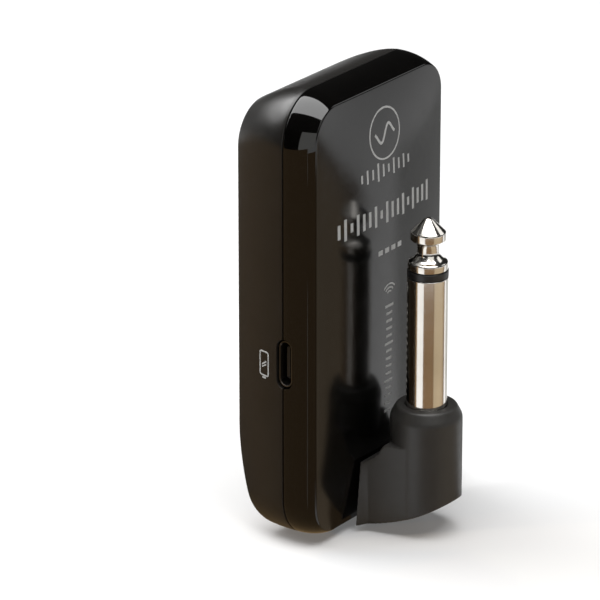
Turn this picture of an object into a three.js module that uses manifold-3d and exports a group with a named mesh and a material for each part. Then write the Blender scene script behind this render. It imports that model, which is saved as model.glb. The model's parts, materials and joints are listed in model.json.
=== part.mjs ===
// A wireless transmitter for an electric guitar: a pocket-size case with a quarter-inch plug on a
// swivelling arm. Millimetres, +Z up, +X to the right of the glossy front, which faces -Y.
// The case stands on its lower end, and the origin is under the middle of the whole object.
import * as THREE from "three";
import { mergeVertices } from "three/addons/utils/BufferGeometryUtils.js";
import Module from "manifold-3d";

const wasm = await Module();
wasm.setup();

// ---- Driving dimensions. Depths (y) run from the front face towards the back, before CENTRE_Y. ----
const CASE_WIDTH = 37.2;
const CASE_HEIGHT = 72.5;
const CASE_DEPTH = 15.8;
const PARTING_Y = 5.1; // where the glossy cover meets the matte shell
const PARTING_GAP = 0.1; // half of the shadow gap between them
const WALL = 1.5;
const BAND_INSET = 1.65; // how far the curved band steps in from the parting line to the front face
const CROWN = 1.5; // how far the middle of the domed front face stands in front of its edges
const CORNER_PARTING = 7.8;
const CORNER_FACE = 5;
const CORNER_BACK = 6.2;
const SIDE_TAPER = 3.21; // how far each side has curved in at the back
const TOP_TAPER = 4.15;
const SHELL_BULGE = 1.6; // power of that curve: the walls start out square to the front
const BACK_EDGE = 0.5; // small chamfer round the flat back
const TAIL_DEPTH = 8.5; // semi-axes of the elliptical lower back
const TAIL_HEIGHT = 20.5;

const PLUG_REACH = 8.95; // plug axis in front of the front face's edges
const POD_RADIUS = 5.65;
const POD_SHOULDER_Z = 20.85;
const POD_CHAMFER = 0.95;
const POD_CHAMFER_HEIGHT = 1.8;
const POD_FLOOR_Z = 6.3;
const POD_BORE_RADIUS = 3.75;
const POD_MOUTH_RADIUS = 3.28;
const POD_MOUTH_HEIGHT = 1.2;
const ARM_BACK_Y = -1.3; // the arm turns clear of the domed face
const ARM_TOP_Z = 11.2;
const ARM_FILLET = 6;
const ARM_FILLET_Y = 0.5;
const ARM_FOLD_Y = -2.5; // the arm's sides flare behind this depth
const ARM_FOLD_HALF = 6.7;
const ARM_FLARE_LOW = 8.5;
const ARM_FLARE_HIGH = 6.3;
const ARM_SIDE_LOW_Z = -2;
const ARM_SIDE_HIGH_Z = 17;
const UNDERSIDE_RADIUS = 33; // the arm and pod share one gently rising underside
const UNDERSIDE_Z = 0.69;
const UNDERSIDE_Y = 3.3; // depth of that arc's lowest point
const PIVOT_Z = 6;

const SHAFT_RADIUS = 2.15;
const SHAFT_BORE = 1.2;
const SHAFT_FRONT_Y = -3.4;
const SHAFT_BACK_Y = 7.9;
const BUSH_RADIUS = 2.8;
const BUSH_BORE = 2.22;
const HUB_RADIUS = 4.2;
const HUB_BORE = 2.92;

const PLUG_RADIUS = 3.175; // a quarter-inch plug
const SLEEVE_TOP_Z = 41.85;
const RING_TOP_Z = 43.05;
const TIP_TOP_Z = 51.3;
const STACK_GAP = 0.12; // between pieces stacked face to face

const BOARD_Y = 4.6;
const BOARD_THICKNESS = 1;
const BOARD_WIDTH = 32.8;
const BOARD_LOW_Z = 13;
const BOARD_HIGH_Z = 68.3;
const BOARD_BACK_Y = BOARD_Y + BOARD_THICKNESS;

const USB = { y: 4.9, z: 30.1, length: 7.6, height: 2.5, depth: 5.4, recess: 0.5, clearance: 0.2 };
const SWITCH = { y: 5.1, z: 48.75, length: 7.2, width: 3, travel: 1.8, proud: 0.8, clearance: 0.15 };
const BUTTON = { y: 5.1, z: 37.3, length: 7.5, width: 3, proud: 0.5, clearance: 0.15 };
const LED = { y: 2.9, z: 30, pitch: 4, radius: 1.2, clearance: 0.12, length: 3.3, count: 4 };
const CASE_SCREW = { x: 12.4, z: 9.6, well: 1.9, seatY: 8, boss: 2.9, coverBoss: 2.4 };
const BOARD_SCREWS = [
  { name: "board_screw_left", x: -13, z: 62.5 },
  { name: "board_screw_right", x: 13, z: 62.5 },
  { name: "board_screw_bottom", x: 0, z: 16.2 },
];
const BATTERY = { width: 25, height: 38, thickness: 5.6, y: 7, z: 46 };

const CENTRE_Y = (CASE_DEPTH - PLUG_REACH - POD_RADIUS) / 2;
const ROUND = 32; // sides of a turned part
const SMALL_ROUND = 20;

// ---- Solids: three.js geometries become manifolds only to be joined and cut ----
function solid(geometry, matrix = new THREE.Matrix4()) {
  const plain = (geometry.index ? geometry.toNonIndexed() : geometry.clone()).applyMatrix4(matrix);
  plain.deleteAttribute("normal");
  plain.deleteAttribute("uv");
  const merged = mergeVertices(plain, 1e-4);
  return new wasm.Manifold(
    new wasm.Mesh({
      numProp: 3,
      vertProperties: new Float32Array(merged.attributes.position.array),
      triVerts: new Uint32Array(merged.index.array),
    }),
  );
}

function toGeometry(made) {
  const { vertProperties, triVerts, numProp } = made.getMesh();
  const positions = new Float32Array((vertProperties.length / numProp) * 3);
  for (let i = 0; i < positions.length / 3; i++)
    for (let j = 0; j < 3; j++) positions[3 * i + j] = vertProperties[numProp * i + j];
  const geometry = new THREE.BufferGeometry();
  geometry.setAttribute("position", new THREE.BufferAttribute(positions, 3));
  geometry.setIndex(new THREE.BufferAttribute(new Uint32Array(triVerts), 1));
  geometry.computeVertexNormals();
  return geometry;
}

const move = (x, y, z) => new THREE.Matrix4().makeTranslation(x, y, z);

// A box between two corners.
function box(low, high) {
  const size = high.map((value, i) => value - low[i]);
  const middle = high.map((value, i) => (value + low[i]) / 2);
  return solid(new THREE.BoxGeometry(...size), move(...middle));
}

// A turned solid on the +Z axis: profile points are [radius, z] and start and end on the axis or close.
function turned(profile, sides = ROUND) {
  const points = profile.map(([radius, z]) => new THREE.Vector2(radius, z));
  return solid(new THREE.LatheGeometry(points, sides), new THREE.Matrix4().makeRotationX(Math.PI / 2));
}

const rod = (radius, low, high, sides) =>
  turned([[0, low], [radius, low], [radius, high], [0, high]], sides);

function tube(outer, inner, low, high, sides) {
  return turned([[inner, low], [outer, low], [outer, high], [inner, high], [inner, low]], sides);
}

// Turns a solid that stands on +Z so that it points along +Y or +X.
const alongY = (made) => made.rotate([-90, 0, 0]);
const alongX = (made) => made.rotate([0, 90, 0]);

// A flat outline in depth and height (y, z), pulled out along X to both sides.
function prismX(shape, halfWidth, curveSegments = 12) {
  const geometry = new THREE.ExtrudeGeometry(shape, {
    depth: 2 * halfWidth,
    bevelEnabled: false,
    curveSegments,
  });
  const turn = new THREE.Matrix4().makeBasis(
    new THREE.Vector3(0, 1, 0),
    new THREE.Vector3(0, 0, 1),
    new THREE.Vector3(1, 0, 0),
  );
  return solid(geometry, move(-halfWidth, 0, 0).multiply(turn));
}

// A slot with round ends along Z, through a side wall.
function slotX(length, width, x0, x1, y, z) {
  const straight = (length - width) / 2;
  const end = alongX(rod(width / 2, x0, x1, SMALL_ROUND));
  return box([x0, -width / 2, -straight], [x1, width / 2, straight])
    .add(end.translate([0, 0, straight]))
    .add(end.translate([0, 0, -straight]))
    .translate([0, y, z]);
}

// ---- The case outline: a rounded rectangle whose size changes with depth ----
function outline(halfWidth, low, high, radius, arcSegments = 7) {
  const corners = [
    [halfWidth - radius, low + radius, -Math.PI / 2],
    [halfWidth - radius, high - radius, 0],
    [-halfWidth + radius, high - radius, Math.PI / 2],
    [-halfWidth + radius, low + radius, Math.PI],
  ];
  const points = [];
  for (const [x, z, start] of corners)
    for (let i = 0; i <= arcSegments; i++) {
      const angle = start + (i / arcSegments) * (Math.PI / 2);
      points.push(new THREE.Vector2(x + radius * Math.cos(angle), z + radius * Math.sin(angle)));
    }
  return points;
}

// Joins outlines of equal point count, from the front one to the back one, into a closed solid.
function loft(rings) {
  const count = rings[0].points.length;
  const positions = rings.flatMap(({ y, points, rise }) =>
    points.flatMap((p) => [p.x, rise ? y - rise(p.x, p.y) : y, p.y]),
  );
  const index = [];
  for (let ring = 0; ring < rings.length - 1; ring++)
    for (let k = 0; k < count; k++) {
      const a = ring * count + k;
      const b = ring * count + ((k + 1) % count);
      index.push(a, a + count, b, b, a + count, b + count);
    }
  const back = (rings.length - 1) * count;
  for (let k = 1; k < count - 1; k++) index.push(0, k, k + 1, back, back + k + 1, back + k);
  const geometry = new THREE.BufferGeometry();
  geometry.setAttribute("position", new THREE.Float32BufferAttribute(positions, 3));
  geometry.setIndex(index);
  return solid(geometry);
}

const CROWN_SHARES = [0.06, 0.3, 0.52, 0.7, 0.86];
const BAND_RADIUS = (PARTING_Y ** 2 + BAND_INSET ** 2) / (2 * BAND_INSET);

// The band is an arc that leaves the parting line straight forwards.
function bandInset(y) {
  return BAND_RADIUS - Math.sqrt(BAND_RADIUS ** 2 - (PARTING_Y - y) ** 2);
}

function coverRing(y, wall) {
  const inset = bandInset(Math.min(y, PARTING_Y)) + wall;
  const share = (inset - wall) / BAND_INSET;
  const radius = THREE.MathUtils.lerp(CORNER_PARTING, CORNER_FACE, share) - wall;
  return { y, points: outline(CASE_WIDTH / 2 - inset, inset, CASE_HEIGHT - inset, radius) };
}

// The front face is domed: highest in its middle, level all round its edge.
function crown(x, z) {
  const across = x / (CASE_WIDTH / 2 - BAND_INSET);
  const along = Math.abs(z - CASE_HEIGHT / 2) / (CASE_HEIGHT / 2 - BAND_INSET);
  return CROWN * (1 - across ** 2) * (1 - along ** 3);
}

// Smaller copies of the face's edge, one inside the other, that carry the dome.
function crownRings(y, wall) {
  const edge = coverRing(y, wall).points;
  const middle = CASE_HEIGHT / 2;
  return CROWN_SHARES.map((share) => ({
    y,
    rise: crown,
    points: edge.map((p) => new THREE.Vector2(share * p.x, middle + share * (p.y - middle))),
  }));
}

function shellRing(y, wall, extra = 0) {
  const share = Math.max(0, y - PARTING_Y) / (CASE_DEPTH - PARTING_Y);
  const curve = share ** SHELL_BULGE;
  const radius = THREE.MathUtils.lerp(CORNER_PARTING, CORNER_BACK, share);
  const halfWidth = CASE_WIDTH / 2 - SIDE_TAPER * curve - wall - extra;
  const high = CASE_HEIGHT - TOP_TAPER * curve - wall - extra;
  return { y, points: outline(halfWidth, wall, high, radius - wall) };
}

// Everything behind the elliptical lower back, to be cut away.
function tailCutter(wall) {
  const centreY = CASE_DEPTH - TAIL_DEPTH;
  const shape = new THREE.Shape();
  shape.moveTo(centreY, -5);
  shape.lineTo(centreY, wall);
  shape.absellipse(centreY, TAIL_HEIGHT, TAIL_DEPTH - wall, TAIL_HEIGHT - wall, -Math.PI / 2, 0, false);
  shape.lineTo(CASE_DEPTH + 5, TAIL_HEIGHT);
  shape.lineTo(CASE_DEPTH + 5, -5);
  return prismX(shape, CASE_WIDTH, 14);
}

// ---- Materials ----
function material(color, roughness, metalness = 0, more = {}) {
  return new THREE.MeshStandardMaterial({ color, roughness, metalness, ...more });
}
const mattePlastic = material("#3b3936", 0.6);
const glossPlastic = material("#0c0a09", 0.06);
const softBlack = material("#262524", 0.5);
const nickel = material("#d8d2c6", 0.12, 1);
const brass = material("#c9a35a", 0.3, 1);
const steel = material("#9a9ca0", 0.35, 1);
const blackNylon = material("#141414", 0.45);
const whiteNylon = material("#e8e6df", 0.5);
const boardGreen = material("#1f4d33", 0.45);
const chipBlack = material("#1b1c1e", 0.55);
const ceramic = material("#e3ddcf", 0.5);
const foam = material("#2b2b2b", 0.95);
const cellWrap = material("#a9b3bd", 0.35);
const lensClear = material("#c9d2cc", 0.15);
const lensGreen = material("#39e639", 0.2, 0, { emissive: "#1fd11f" });
const leadRed = material("#b3241f", 0.5);
const leadBlack = material("#161616", 0.5);

const part = new THREE.Group();
const caseBody = new THREE.Group();
const swivelBody = new THREE.Group();
const switchBody = new THREE.Group();
const buttonBody = new THREE.Group();
part.position.y = -CENTRE_Y;
part.add(caseBody, swivelBody, switchBody, buttonBody);

function addPiece(group, name, made, finish, place = [0, 0, 0]) {
  const mesh = new THREE.Mesh(toGeometry(made), finish);
  mesh.name = name;
  mesh.position.set(...place);
  group.add(mesh);
}

// ---- Openings in the side walls, cut from both shells ----
const SIDE_REACH = CASE_WIDTH / 2 + 2;
const SHELL_RING_DEPTHS = [PARTING_GAP, 2, 4, 6, 8, 9.4];

function sideOpenings() {
  const inner = CASE_WIDTH / 2 - WALL - 1.6;
  const usbLength = USB.length + 2 * USB.clearance;
  const usbHeight = USB.height + 2 * USB.clearance;
  const switchHeight = SWITCH.width / 2 + SWITCH.clearance;
  const buttonHeight = BUTTON.width / 2 + BUTTON.clearance;
  const usb = slotX(usbLength, usbHeight, -SIDE_REACH, -inner, USB.y, USB.z);
  const knobWindow = box(
    [inner, SWITCH.y - switchHeight, SWITCH.z - SWITCH.length / 2 - SWITCH.clearance],
    [SIDE_REACH, SWITCH.y + switchHeight, SWITCH.z + SWITCH.length / 2 + SWITCH.travel + SWITCH.clearance],
  );
  const buttonWindow = box(
    [inner, BUTTON.y - buttonHeight, BUTTON.z - BUTTON.length / 2 - BUTTON.clearance],
    [SIDE_REACH, BUTTON.y + buttonHeight, BUTTON.z + BUTTON.length / 2 + BUTTON.clearance],
  );
  return usb.add(knobWindow).add(buttonWindow);
}

const ledZ = (number) => LED.z - LED.pitch * (number - 1);

function ledHoles() {
  let holes = null;
  for (let number = 1; number <= LED.count; number++) {
    const hole = alongX(rod(LED.radius + LED.clearance, CASE_WIDTH / 2 - 4, SIDE_REACH, SMALL_ROUND));
    const placed = hole.translate([0, LED.y, ledZ(number)]);
    holes = holes ? holes.add(placed) : placed;
  }
  return holes;
}

function frontCover() {
  const back = PARTING_Y - PARTING_GAP;
  const steps = [0, 0.35, 0.9, 1.8, 3, back];
  const hollowSteps = [WALL, 2.3, 3.4, back + 1];
  const outer = loft([...crownRings(0, 0), ...steps.map((y) => coverRing(y, 0))]);
  const hollow = loft([...crownRings(WALL, WALL), ...hollowSteps.map((y) => coverRing(y, WALL))]);
  const rootY = (x, z) => WALL / 2 - crown(x, z);
  let made = outer.subtract(hollow);
  const hub = alongY(rod(HUB_RADIUS, rootY(0, PIVOT_Z), back)).translate([0, 0, PIVOT_Z]);
  made = made.add(hub.intersect(outer));
  for (const side of [-1, 1]) {
    const root = rootY(CASE_SCREW.x, CASE_SCREW.z);
    const boss = alongY(rod(CASE_SCREW.coverBoss, root, back, SMALL_ROUND));
    made = made.add(boss.translate([side * CASE_SCREW.x, 0, CASE_SCREW.z]).intersect(outer));
    const pilot = alongY(rod(0.95, 2.2, back + 1, SMALL_ROUND));
    made = made.subtract(pilot.translate([side * CASE_SCREW.x, 0, CASE_SCREW.z]));
    const hook = box([side * 8 - 2, 2.5, 69.3], [side * 8 + 2, 7.4, 70.1]);
    const hookRoot = box([side * 8 - 2, 2.5, 69.3], [side * 8 + 2, back - 0.4, 71.4]);
    made = made.add(hook).add(hookRoot);
  }
  for (const { x, z } of BOARD_SCREWS) {
    const post = alongY(rod(1.9, rootY(x, z), BOARD_Y - STACK_GAP, SMALL_ROUND));
    made = made.add(post.translate([x, 0, z]));
    made = made.subtract(alongY(rod(0.72, 2, PARTING_Y, 12)).translate([x, 0, z]));
  }
  const shaftHole = alongY(rod(HUB_BORE, -2 * CROWN, PARTING_Y + 1)).translate([0, 0, PIVOT_Z]);
  return made.subtract(shaftHole).subtract(sideOpenings()).subtract(ledHoles());
}

function backShell() {
  const front = PARTING_Y + PARTING_GAP;
  const outer = loft([
    ...SHELL_RING_DEPTHS.map((depth) => shellRing(PARTING_Y + depth, 0)),
    shellRing(CASE_DEPTH - BACK_EDGE, 0),
    shellRing(CASE_DEPTH, 0, BACK_EDGE),
  ]).subtract(tailCutter(0));
  const inner = SHELL_RING_DEPTHS.filter((depth) => depth < CASE_DEPTH - WALL - PARTING_Y);
  const hollow = loft([
    shellRing(front - 1, WALL),
    ...inner.map((depth) => shellRing(PARTING_Y + depth, WALL)),
    shellRing(CASE_DEPTH - WALL, WALL),
  ]);
  let made = outer.subtract(hollow.subtract(tailCutter(WALL)));
  for (const side of [-1, 1]) {
    const place = [side * CASE_SCREW.x, 0, CASE_SCREW.z];
    const boss = alongY(rod(CASE_SCREW.boss, front, CASE_DEPTH, SMALL_ROUND)).translate(place);
    made = made.add(boss.intersect(outer));
    const well = alongY(rod(CASE_SCREW.well, CASE_SCREW.seatY, CASE_DEPTH + 1, SMALL_ROUND));
    const hole = alongY(rod(1.15, front - 1, CASE_SCREW.seatY + 1, SMALL_ROUND));
    made = made.subtract(well.translate(place)).subtract(hole.translate(place));
  }
  return made.subtract(sideOpenings());
}

// ---- The swivelling plug ----
function undersideCutter() {
  const shape = new THREE.Shape();
  const centreZ = UNDERSIDE_Z + UNDERSIDE_RADIUS;
  const start = -Math.PI / 2;
  const end = -Math.PI / 2 - 0.8;
  shape.moveTo(UNDERSIDE_Y, -10);
  shape.lineTo(UNDERSIDE_Y, UNDERSIDE_Z);
  shape.absarc(UNDERSIDE_Y, centreZ, UNDERSIDE_RADIUS, start, end, true);
  shape.lineTo(-2 * PLUG_REACH, -10);
  return prismX(shape, ARM_FLARE_LOW + 2, 24);
}

// The arm is as wide as the pod in front and flares towards the case, most at its lower end.
function armSides() {
  const ring = (y, lowHalf, highHalf) => ({
    y,
    points: [
      new THREE.Vector2(lowHalf, ARM_SIDE_LOW_Z),
      new THREE.Vector2(highHalf, ARM_SIDE_HIGH_Z),
      new THREE.Vector2(-highHalf, ARM_SIDE_HIGH_Z),
      new THREE.Vector2(-lowHalf, ARM_SIDE_LOW_Z),
    ],
  });
  return loft([
    ring(-PLUG_REACH, POD_RADIUS, POD_RADIUS),
    ring(ARM_FOLD_Y, ARM_FOLD_HALF, ARM_FOLD_HALF),
    ring(ARM_BACK_Y, ARM_FLARE_LOW, ARM_FLARE_HIGH),
  ]);
}

function swivelHousing() {
  const arm = new THREE.Shape(); // y across, z up
  const filletZ = ARM_TOP_Z + ARM_FILLET;
  const filletStart = -Math.PI / 2 - Math.asin((ARM_FILLET_Y - ARM_BACK_Y) / ARM_FILLET);
  arm.moveTo(ARM_BACK_Y, -1);
  arm.absarc(ARM_FILLET_Y, filletZ, ARM_FILLET, filletStart, -Math.PI + 0.35, true);
  arm.lineTo(-PLUG_REACH, 16.6);
  arm.lineTo(-PLUG_REACH, -1);
  const pod = turned([
    [0, -2],
    [POD_RADIUS, -2],
    [POD_RADIUS, POD_SHOULDER_Z - POD_CHAMFER_HEIGHT],
    [POD_RADIUS - 0.25, POD_SHOULDER_Z - 1],
    [POD_RADIUS - POD_CHAMFER, POD_SHOULDER_Z],
    [0, POD_SHOULDER_Z],
  ], 48).translate([0, -PLUG_REACH, 0]);
  const bore = turned([
    [0, POD_FLOOR_Z],
    [POD_BORE_RADIUS, POD_FLOOR_Z],
    [POD_BORE_RADIUS, POD_SHOULDER_Z - POD_MOUTH_HEIGHT],
    [POD_MOUTH_RADIUS, POD_SHOULDER_Z - POD_MOUTH_HEIGHT],
    [POD_MOUTH_RADIUS, POD_SHOULDER_Z + 1],
    [0, POD_SHOULDER_Z + 1],
  ]).translate([0, -PLUG_REACH, 0]);
  const shaftSeat = alongY(rod(SHAFT_RADIUS + STACK_GAP, SHAFT_FRONT_Y - STACK_GAP, 1));
  const leadChannel = alongY(rod(SHAFT_BORE, -PLUG_REACH, 0, SMALL_ROUND));
  return prismX(arm, ARM_FLARE_LOW + 1)
    .intersect(armSides())
    .add(pod)
    .subtract(undersideCutter())
    .subtract(bore)
    .subtract(shaftSeat.add(leadChannel).translate([0, 0, PIVOT_Z]));
}

function plugSleeve() {
  const collar = POD_BORE_RADIUS - 0.12;
  return turned([
    [1.95, 12.5],
    [collar, 12.5],
    [collar, 19.4],
    [PLUG_RADIUS, 19.6],
    [PLUG_RADIUS, SLEEVE_TOP_Z],
    [1.95, SLEEVE_TOP_Z],
    [1.95, 12.5],
  ], 40);
}

function plugTip() {
  const base = RING_TOP_Z + STACK_GAP;
  return turned([
    [0, 46.6],
    [1, 46.6],
    [1, base],
    [2.95, base],
    [3.1, base + 0.15],
    [3.1, 44.3],
    [2.9, 44.5],
    [2.2, 44.85],
    [1.65, 45.6],
    [1.65, 46.8],
    [1.95, 47.45],
    [2.75, 47.85],
    [2.75, 49.1],
    [0.75, 51.15],
    [0.5, TIP_TOP_Z],
    [0, TIP_TOP_Z],
  ], 40);
}

function addSwivel() {
  const place = [0, -PLUG_REACH, 0];
  const hinge = [0, 0, PIVOT_Z];
  addPiece(swivelBody, "swivel_housing", swivelHousing(), mattePlastic);
  addPiece(swivelBody, "plug_sleeve", plugSleeve(), nickel, place);
  const ring = tube(3.2, 1.05, SLEEVE_TOP_Z + STACK_GAP, RING_TOP_Z, 40);
  addPiece(swivelBody, "plug_insulator_ring", ring, blackNylon, place);
  addPiece(swivelBody, "plug_tip", plugTip(), nickel, place);
  addPiece(swivelBody, "plug_centre_rod", rod(0.88, 9.8, 46.4, SMALL_ROUND), brass, place);
  const liner = tube(1.83, 1, 11, SLEEVE_TOP_Z, SMALL_ROUND);
  addPiece(swivelBody, "plug_rod_insulator", liner, whiteNylon, place);
  addPiece(swivelBody, "plug_ground_lug", tube(3.4, 2, 11.9, 12.38, SMALL_ROUND), brass, place);
  addPiece(swivelBody, "plug_tip_lug", tube(1.9, 1, 9.9, 10.4, SMALL_ROUND), brass, place);
  const shaft = alongY(tube(SHAFT_RADIUS, SHAFT_BORE, SHAFT_FRONT_Y, SHAFT_BACK_Y));
  addPiece(swivelBody, "swivel_shaft", shaft, steel, hinge);
  const washer = alongY(tube(3.7, BUSH_BORE, 5.35, 5.95));
  addPiece(swivelBody, "friction_washer", washer, steel, hinge);
  const clip = alongY(tube(3.4, BUSH_BORE, 6.15, 7.15));
  addPiece(swivelBody, "swivel_retainer", clip, steel, hinge);
}

// ---- Controls on the +X side ----
const SIDE_X = CASE_WIDTH / 2;

function switchKnob() {
  const half = SWITCH.length / 2;
  const crown = SIDE_X + SWITCH.proud;
  const root = SIDE_X - WALL - 0.25;
  const ridges = 6;
  const pitch = (SWITCH.length - 1.2) / ridges;
  const shape = new THREE.Shape(); // x across, z up
  shape.moveTo(root, -half);
  shape.lineTo(crown - 0.35, -half);
  shape.lineTo(crown, -half + 0.35);
  for (let i = 0; i < ridges; i++) {
    const z = -half + 0.6 + i * pitch;
    shape.lineTo(crown, z + 0.25 * pitch);
    shape.lineTo(crown - 0.4, z + 0.4 * pitch);
    shape.lineTo(crown - 0.4, z + 0.75 * pitch);
    shape.lineTo(crown, z + 0.9 * pitch);
  }
  shape.lineTo(crown, half - 0.35);
  shape.lineTo(crown - 0.35, half);
  shape.lineTo(root, half);
  const geometry = new THREE.ExtrudeGeometry(shape, { depth: SWITCH.width, bevelEnabled: false });
  const stand = move(0, SWITCH.width / 2, 0).multiply(new THREE.Matrix4().makeRotationX(Math.PI / 2));
  const flange = box([root - 1, -1.95, -half - 1.3], [root - 0.5, 1.95, half + 1.3]);
  const neck = box([root - 0.6, -1.2, -half + 0.4], [root + 0.1, 1.2, half - 0.4]);
  const stem = box([root - 2.9, -0.5, -1.6], [root - 0.9, 0.5, 1.6]);
  return solid(geometry, stand).add(neck).add(flange).add(stem);
}

function addSwitch() {
  addPiece(switchBody, "switch_knob", switchKnob(), softBlack, [0, SWITCH.y, SWITCH.z]);
  const middle = [0, SWITCH.y, SWITCH.z + SWITCH.travel / 2];
  const front = SIDE_X - WALL - 1.5;
  const slot = box([front - 2, -0.65, -2.75], [front + 1, 0.65, 2.75]);
  const body = box([front - 3.6, -1.7, -4.3], [front, 1.7, 4.3]).subtract(slot);
  addPiece(caseBody, "switch_body", body, steel, middle);
}

function addButton() {
  const half = BUTTON.length / 2;
  const face = SIDE_X + BUTTON.proud;
  const root = SIDE_X - WALL - 0.7;
  const place = [0, BUTTON.y, BUTTON.z];
  const chamfer = 0.3;
  const shape = new THREE.Shape(); // x across, z up
  shape.moveTo(root, -half);
  shape.lineTo(face - chamfer, -half);
  shape.lineTo(face, -half + chamfer);
  shape.lineTo(face, half - chamfer);
  shape.lineTo(face - chamfer, half);
  shape.lineTo(root, half);
  const geometry = new THREE.ExtrudeGeometry(shape, { depth: BUTTON.width, bevelEnabled: false });
  const stand = move(0, BUTTON.width / 2, 0).multiply(new THREE.Matrix4().makeRotationX(Math.PI / 2));
  const flange = box([root - 0.5, -1.95, -half - 0.7], [root - 0.1, 1.95, half + 0.7]);
  const neck = box([root - 0.2, -1.2, -half + 0.4], [root + 0.1, 1.2, half - 0.4]);
  addPiece(buttonBody, "button_cap", solid(geometry, stand).add(neck).add(flange), softBlack, place);
  const seat = root - 1.2;
  const plunger = alongX(rod(0.9, seat - 0.7, root - 0.62, SMALL_ROUND));
  addPiece(buttonBody, "tact_plunger", plunger, blackNylon, place);
  const hole = alongX(rod(1.05, seat - 1.4, seat + 1, SMALL_ROUND));
  const tact = box([seat - 2.8, -1.7, -2.6], [seat, 1.7, 2.6]).subtract(hole);
  addPiece(caseBody, "tact_switch", tact, steel, place);
}

function addLights() {
  for (let number = 1; number <= LED.count; number++) {
    const tip = SIDE_X - bandInset(LED.y) + 0.08;
    const lens = turned([
      [0, tip - LED.length],
      [LED.radius, tip - LED.length],
      [LED.radius, tip - 0.15],
      [LED.radius * 0.6, tip],
      [0, tip],
    ], SMALL_ROUND);
    const finish = number === 1 ? lensClear : lensGreen;
    const place = [0, LED.y, ledZ(number)];
    addPiece(caseBody, `led_lens_${number}`, alongX(lens), finish, place);
    const chip = box([tip - LED.length - 1.7, -0.5, -0.8], [tip - LED.length - 0.2, 1.55, 0.8]);
    addPiece(caseBody, `led_chip_${number}`, chip, ceramic, place);
  }
}

// ---- Inside the case ----
function addBoard() {
  const low = BOARD_LOW_Z;
  const points = outline(BOARD_WIDTH / 2, low, BOARD_HIGH_Z, 4.5, 5);
  let made = loft([{ y: BOARD_Y, points }, { y: BOARD_BACK_Y, points }]);
  const edge = BOARD_WIDTH / 2;
  const notches = [
    [-edge - 1, -edge + 4.3, USB.z - 4.3, USB.z + 4.3],
    [edge - 4.6, edge + 1, SWITCH.z - 5.6, SWITCH.z + 7.3],
    [edge - 4.6, edge + 1, BUTTON.z - 4.9, BUTTON.z + 4.9],
  ];
  for (const [x0, x1, z0, z1] of notches)
    made = made.subtract(box([x0, BOARD_Y - 1, z0], [x1, BOARD_BACK_Y + 1, z1]));
  for (const { name, x, z } of BOARD_SCREWS) {
    made = made.subtract(alongY(rod(0.95, BOARD_Y - 1, BOARD_BACK_Y + 1, 12)).translate([x, 0, z]));
    const head = alongY(rod(1.45, BOARD_BACK_Y + STACK_GAP, BOARD_BACK_Y + 1, 12));
    const shank = alongY(rod(0.6, 2.4, BOARD_BACK_Y + 0.5, 12));
    const drive = box([-0.8, BOARD_BACK_Y + 0.6, -0.15], [0.8, BOARD_BACK_Y + 2, 0.15]);
    const cross = drive.add(drive.rotate([0, 90, 0]));
    addPiece(caseBody, name, head.add(shank).subtract(cross), steel, [x, 0, z]);
  }
  addPiece(caseBody, "circuit_board", made, boardGreen);
}

// A part that lies on the front of the board: width, height, thickness, x, z.
function addChip(name, [width, height, thickness, x, z], finish) {
  const back = BOARD_Y - STACK_GAP;
  const body = box([-width / 2, back - thickness, -height / 2], [width / 2, back, height / 2]);
  addPiece(caseBody, name, body, finish, [x, 0, z]);
}

function addElectronics() {
  const back = BOARD_Y - STACK_GAP;
  const can = box([-9, back - 2.5, -8], [9, back, 8]);
  const inside = box([-8.7, back - 2.2, -7.7], [8.7, back + 1, 7.7]);
  addPiece(caseBody, "radio_shield", can.subtract(inside), steel, [0, 0, 56.5]);
  addChip("radio_chip", [5, 5, 0.9, 2, 57], chipBlack);
  addChip("radio_crystal", [3.2, 2.5, 0.8, -5, 57], steel);
  addChip("chip_antenna", [7, 1.8, 1.1, 0, 66.4], ceramic);
  addChip("audio_converter_chip", [5, 5, 0.9, -4, 40], chipBlack);
  addChip("charger_chip", [3, 3, 0.8, -7, 30], chipBlack);
  addChip("power_inductor", [4, 4, 2, 0, 31], chipBlack);
  addChip("coupling_capacitor", [3.5, 2.8, 1.9, 0, 22.5], ceramic);
}

function usbPort() {
  const mouth = -SIDE_X + USB.recess;
  const rear = mouth + USB.depth;
  const outer = slotX(USB.length, USB.height, mouth, rear, 0, 0);
  const hollow = slotX(USB.length - 0.6, USB.height - 0.6, mouth - 1, rear - 0.5, 0, 0);
  const tongue = box([mouth + 0.8, -0.32, -2.6], [rear - 0.3, 0.32, 2.6]);
  return outer.subtract(hollow).add(tongue);
}

function addBattery() {
  const { width, height, thickness, y, z } = BATTERY;
  const points = (grow) => outline(width / 2 - grow, -height / 2 + grow, height / 2 - grow, 1.6, 3);
  const cell = loft([
    { y: 0, points: points(0.8) },
    { y: 0.8, points: points(0) },
    { y: thickness - 0.8, points: points(0) },
    { y: thickness, points: points(0.8) },
  ]);
  addPiece(caseBody, "battery", cell, cellWrap, [0, y, z]);
  const pad = box([-9.5, BOARD_BACK_Y + STACK_GAP, -13], [9.5, y - STACK_GAP, 13]);
  addPiece(caseBody, "battery_pad", pad, foam, [0, 0, z]);
  const plugY = BOARD_BACK_Y + STACK_GAP;
  const connector = box([-3, 0, -2], [3, 3.2, 2]);
  addPiece(caseBody, "battery_connector", connector, whiteNylon, [-6, plugY, 20.5]);
  addLead("battery_lead_positive", -4.8, plugY + 1.9, leadRed);
  addLead("battery_lead_negative", -7.2, plugY + 1.9, leadBlack);
}

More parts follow.
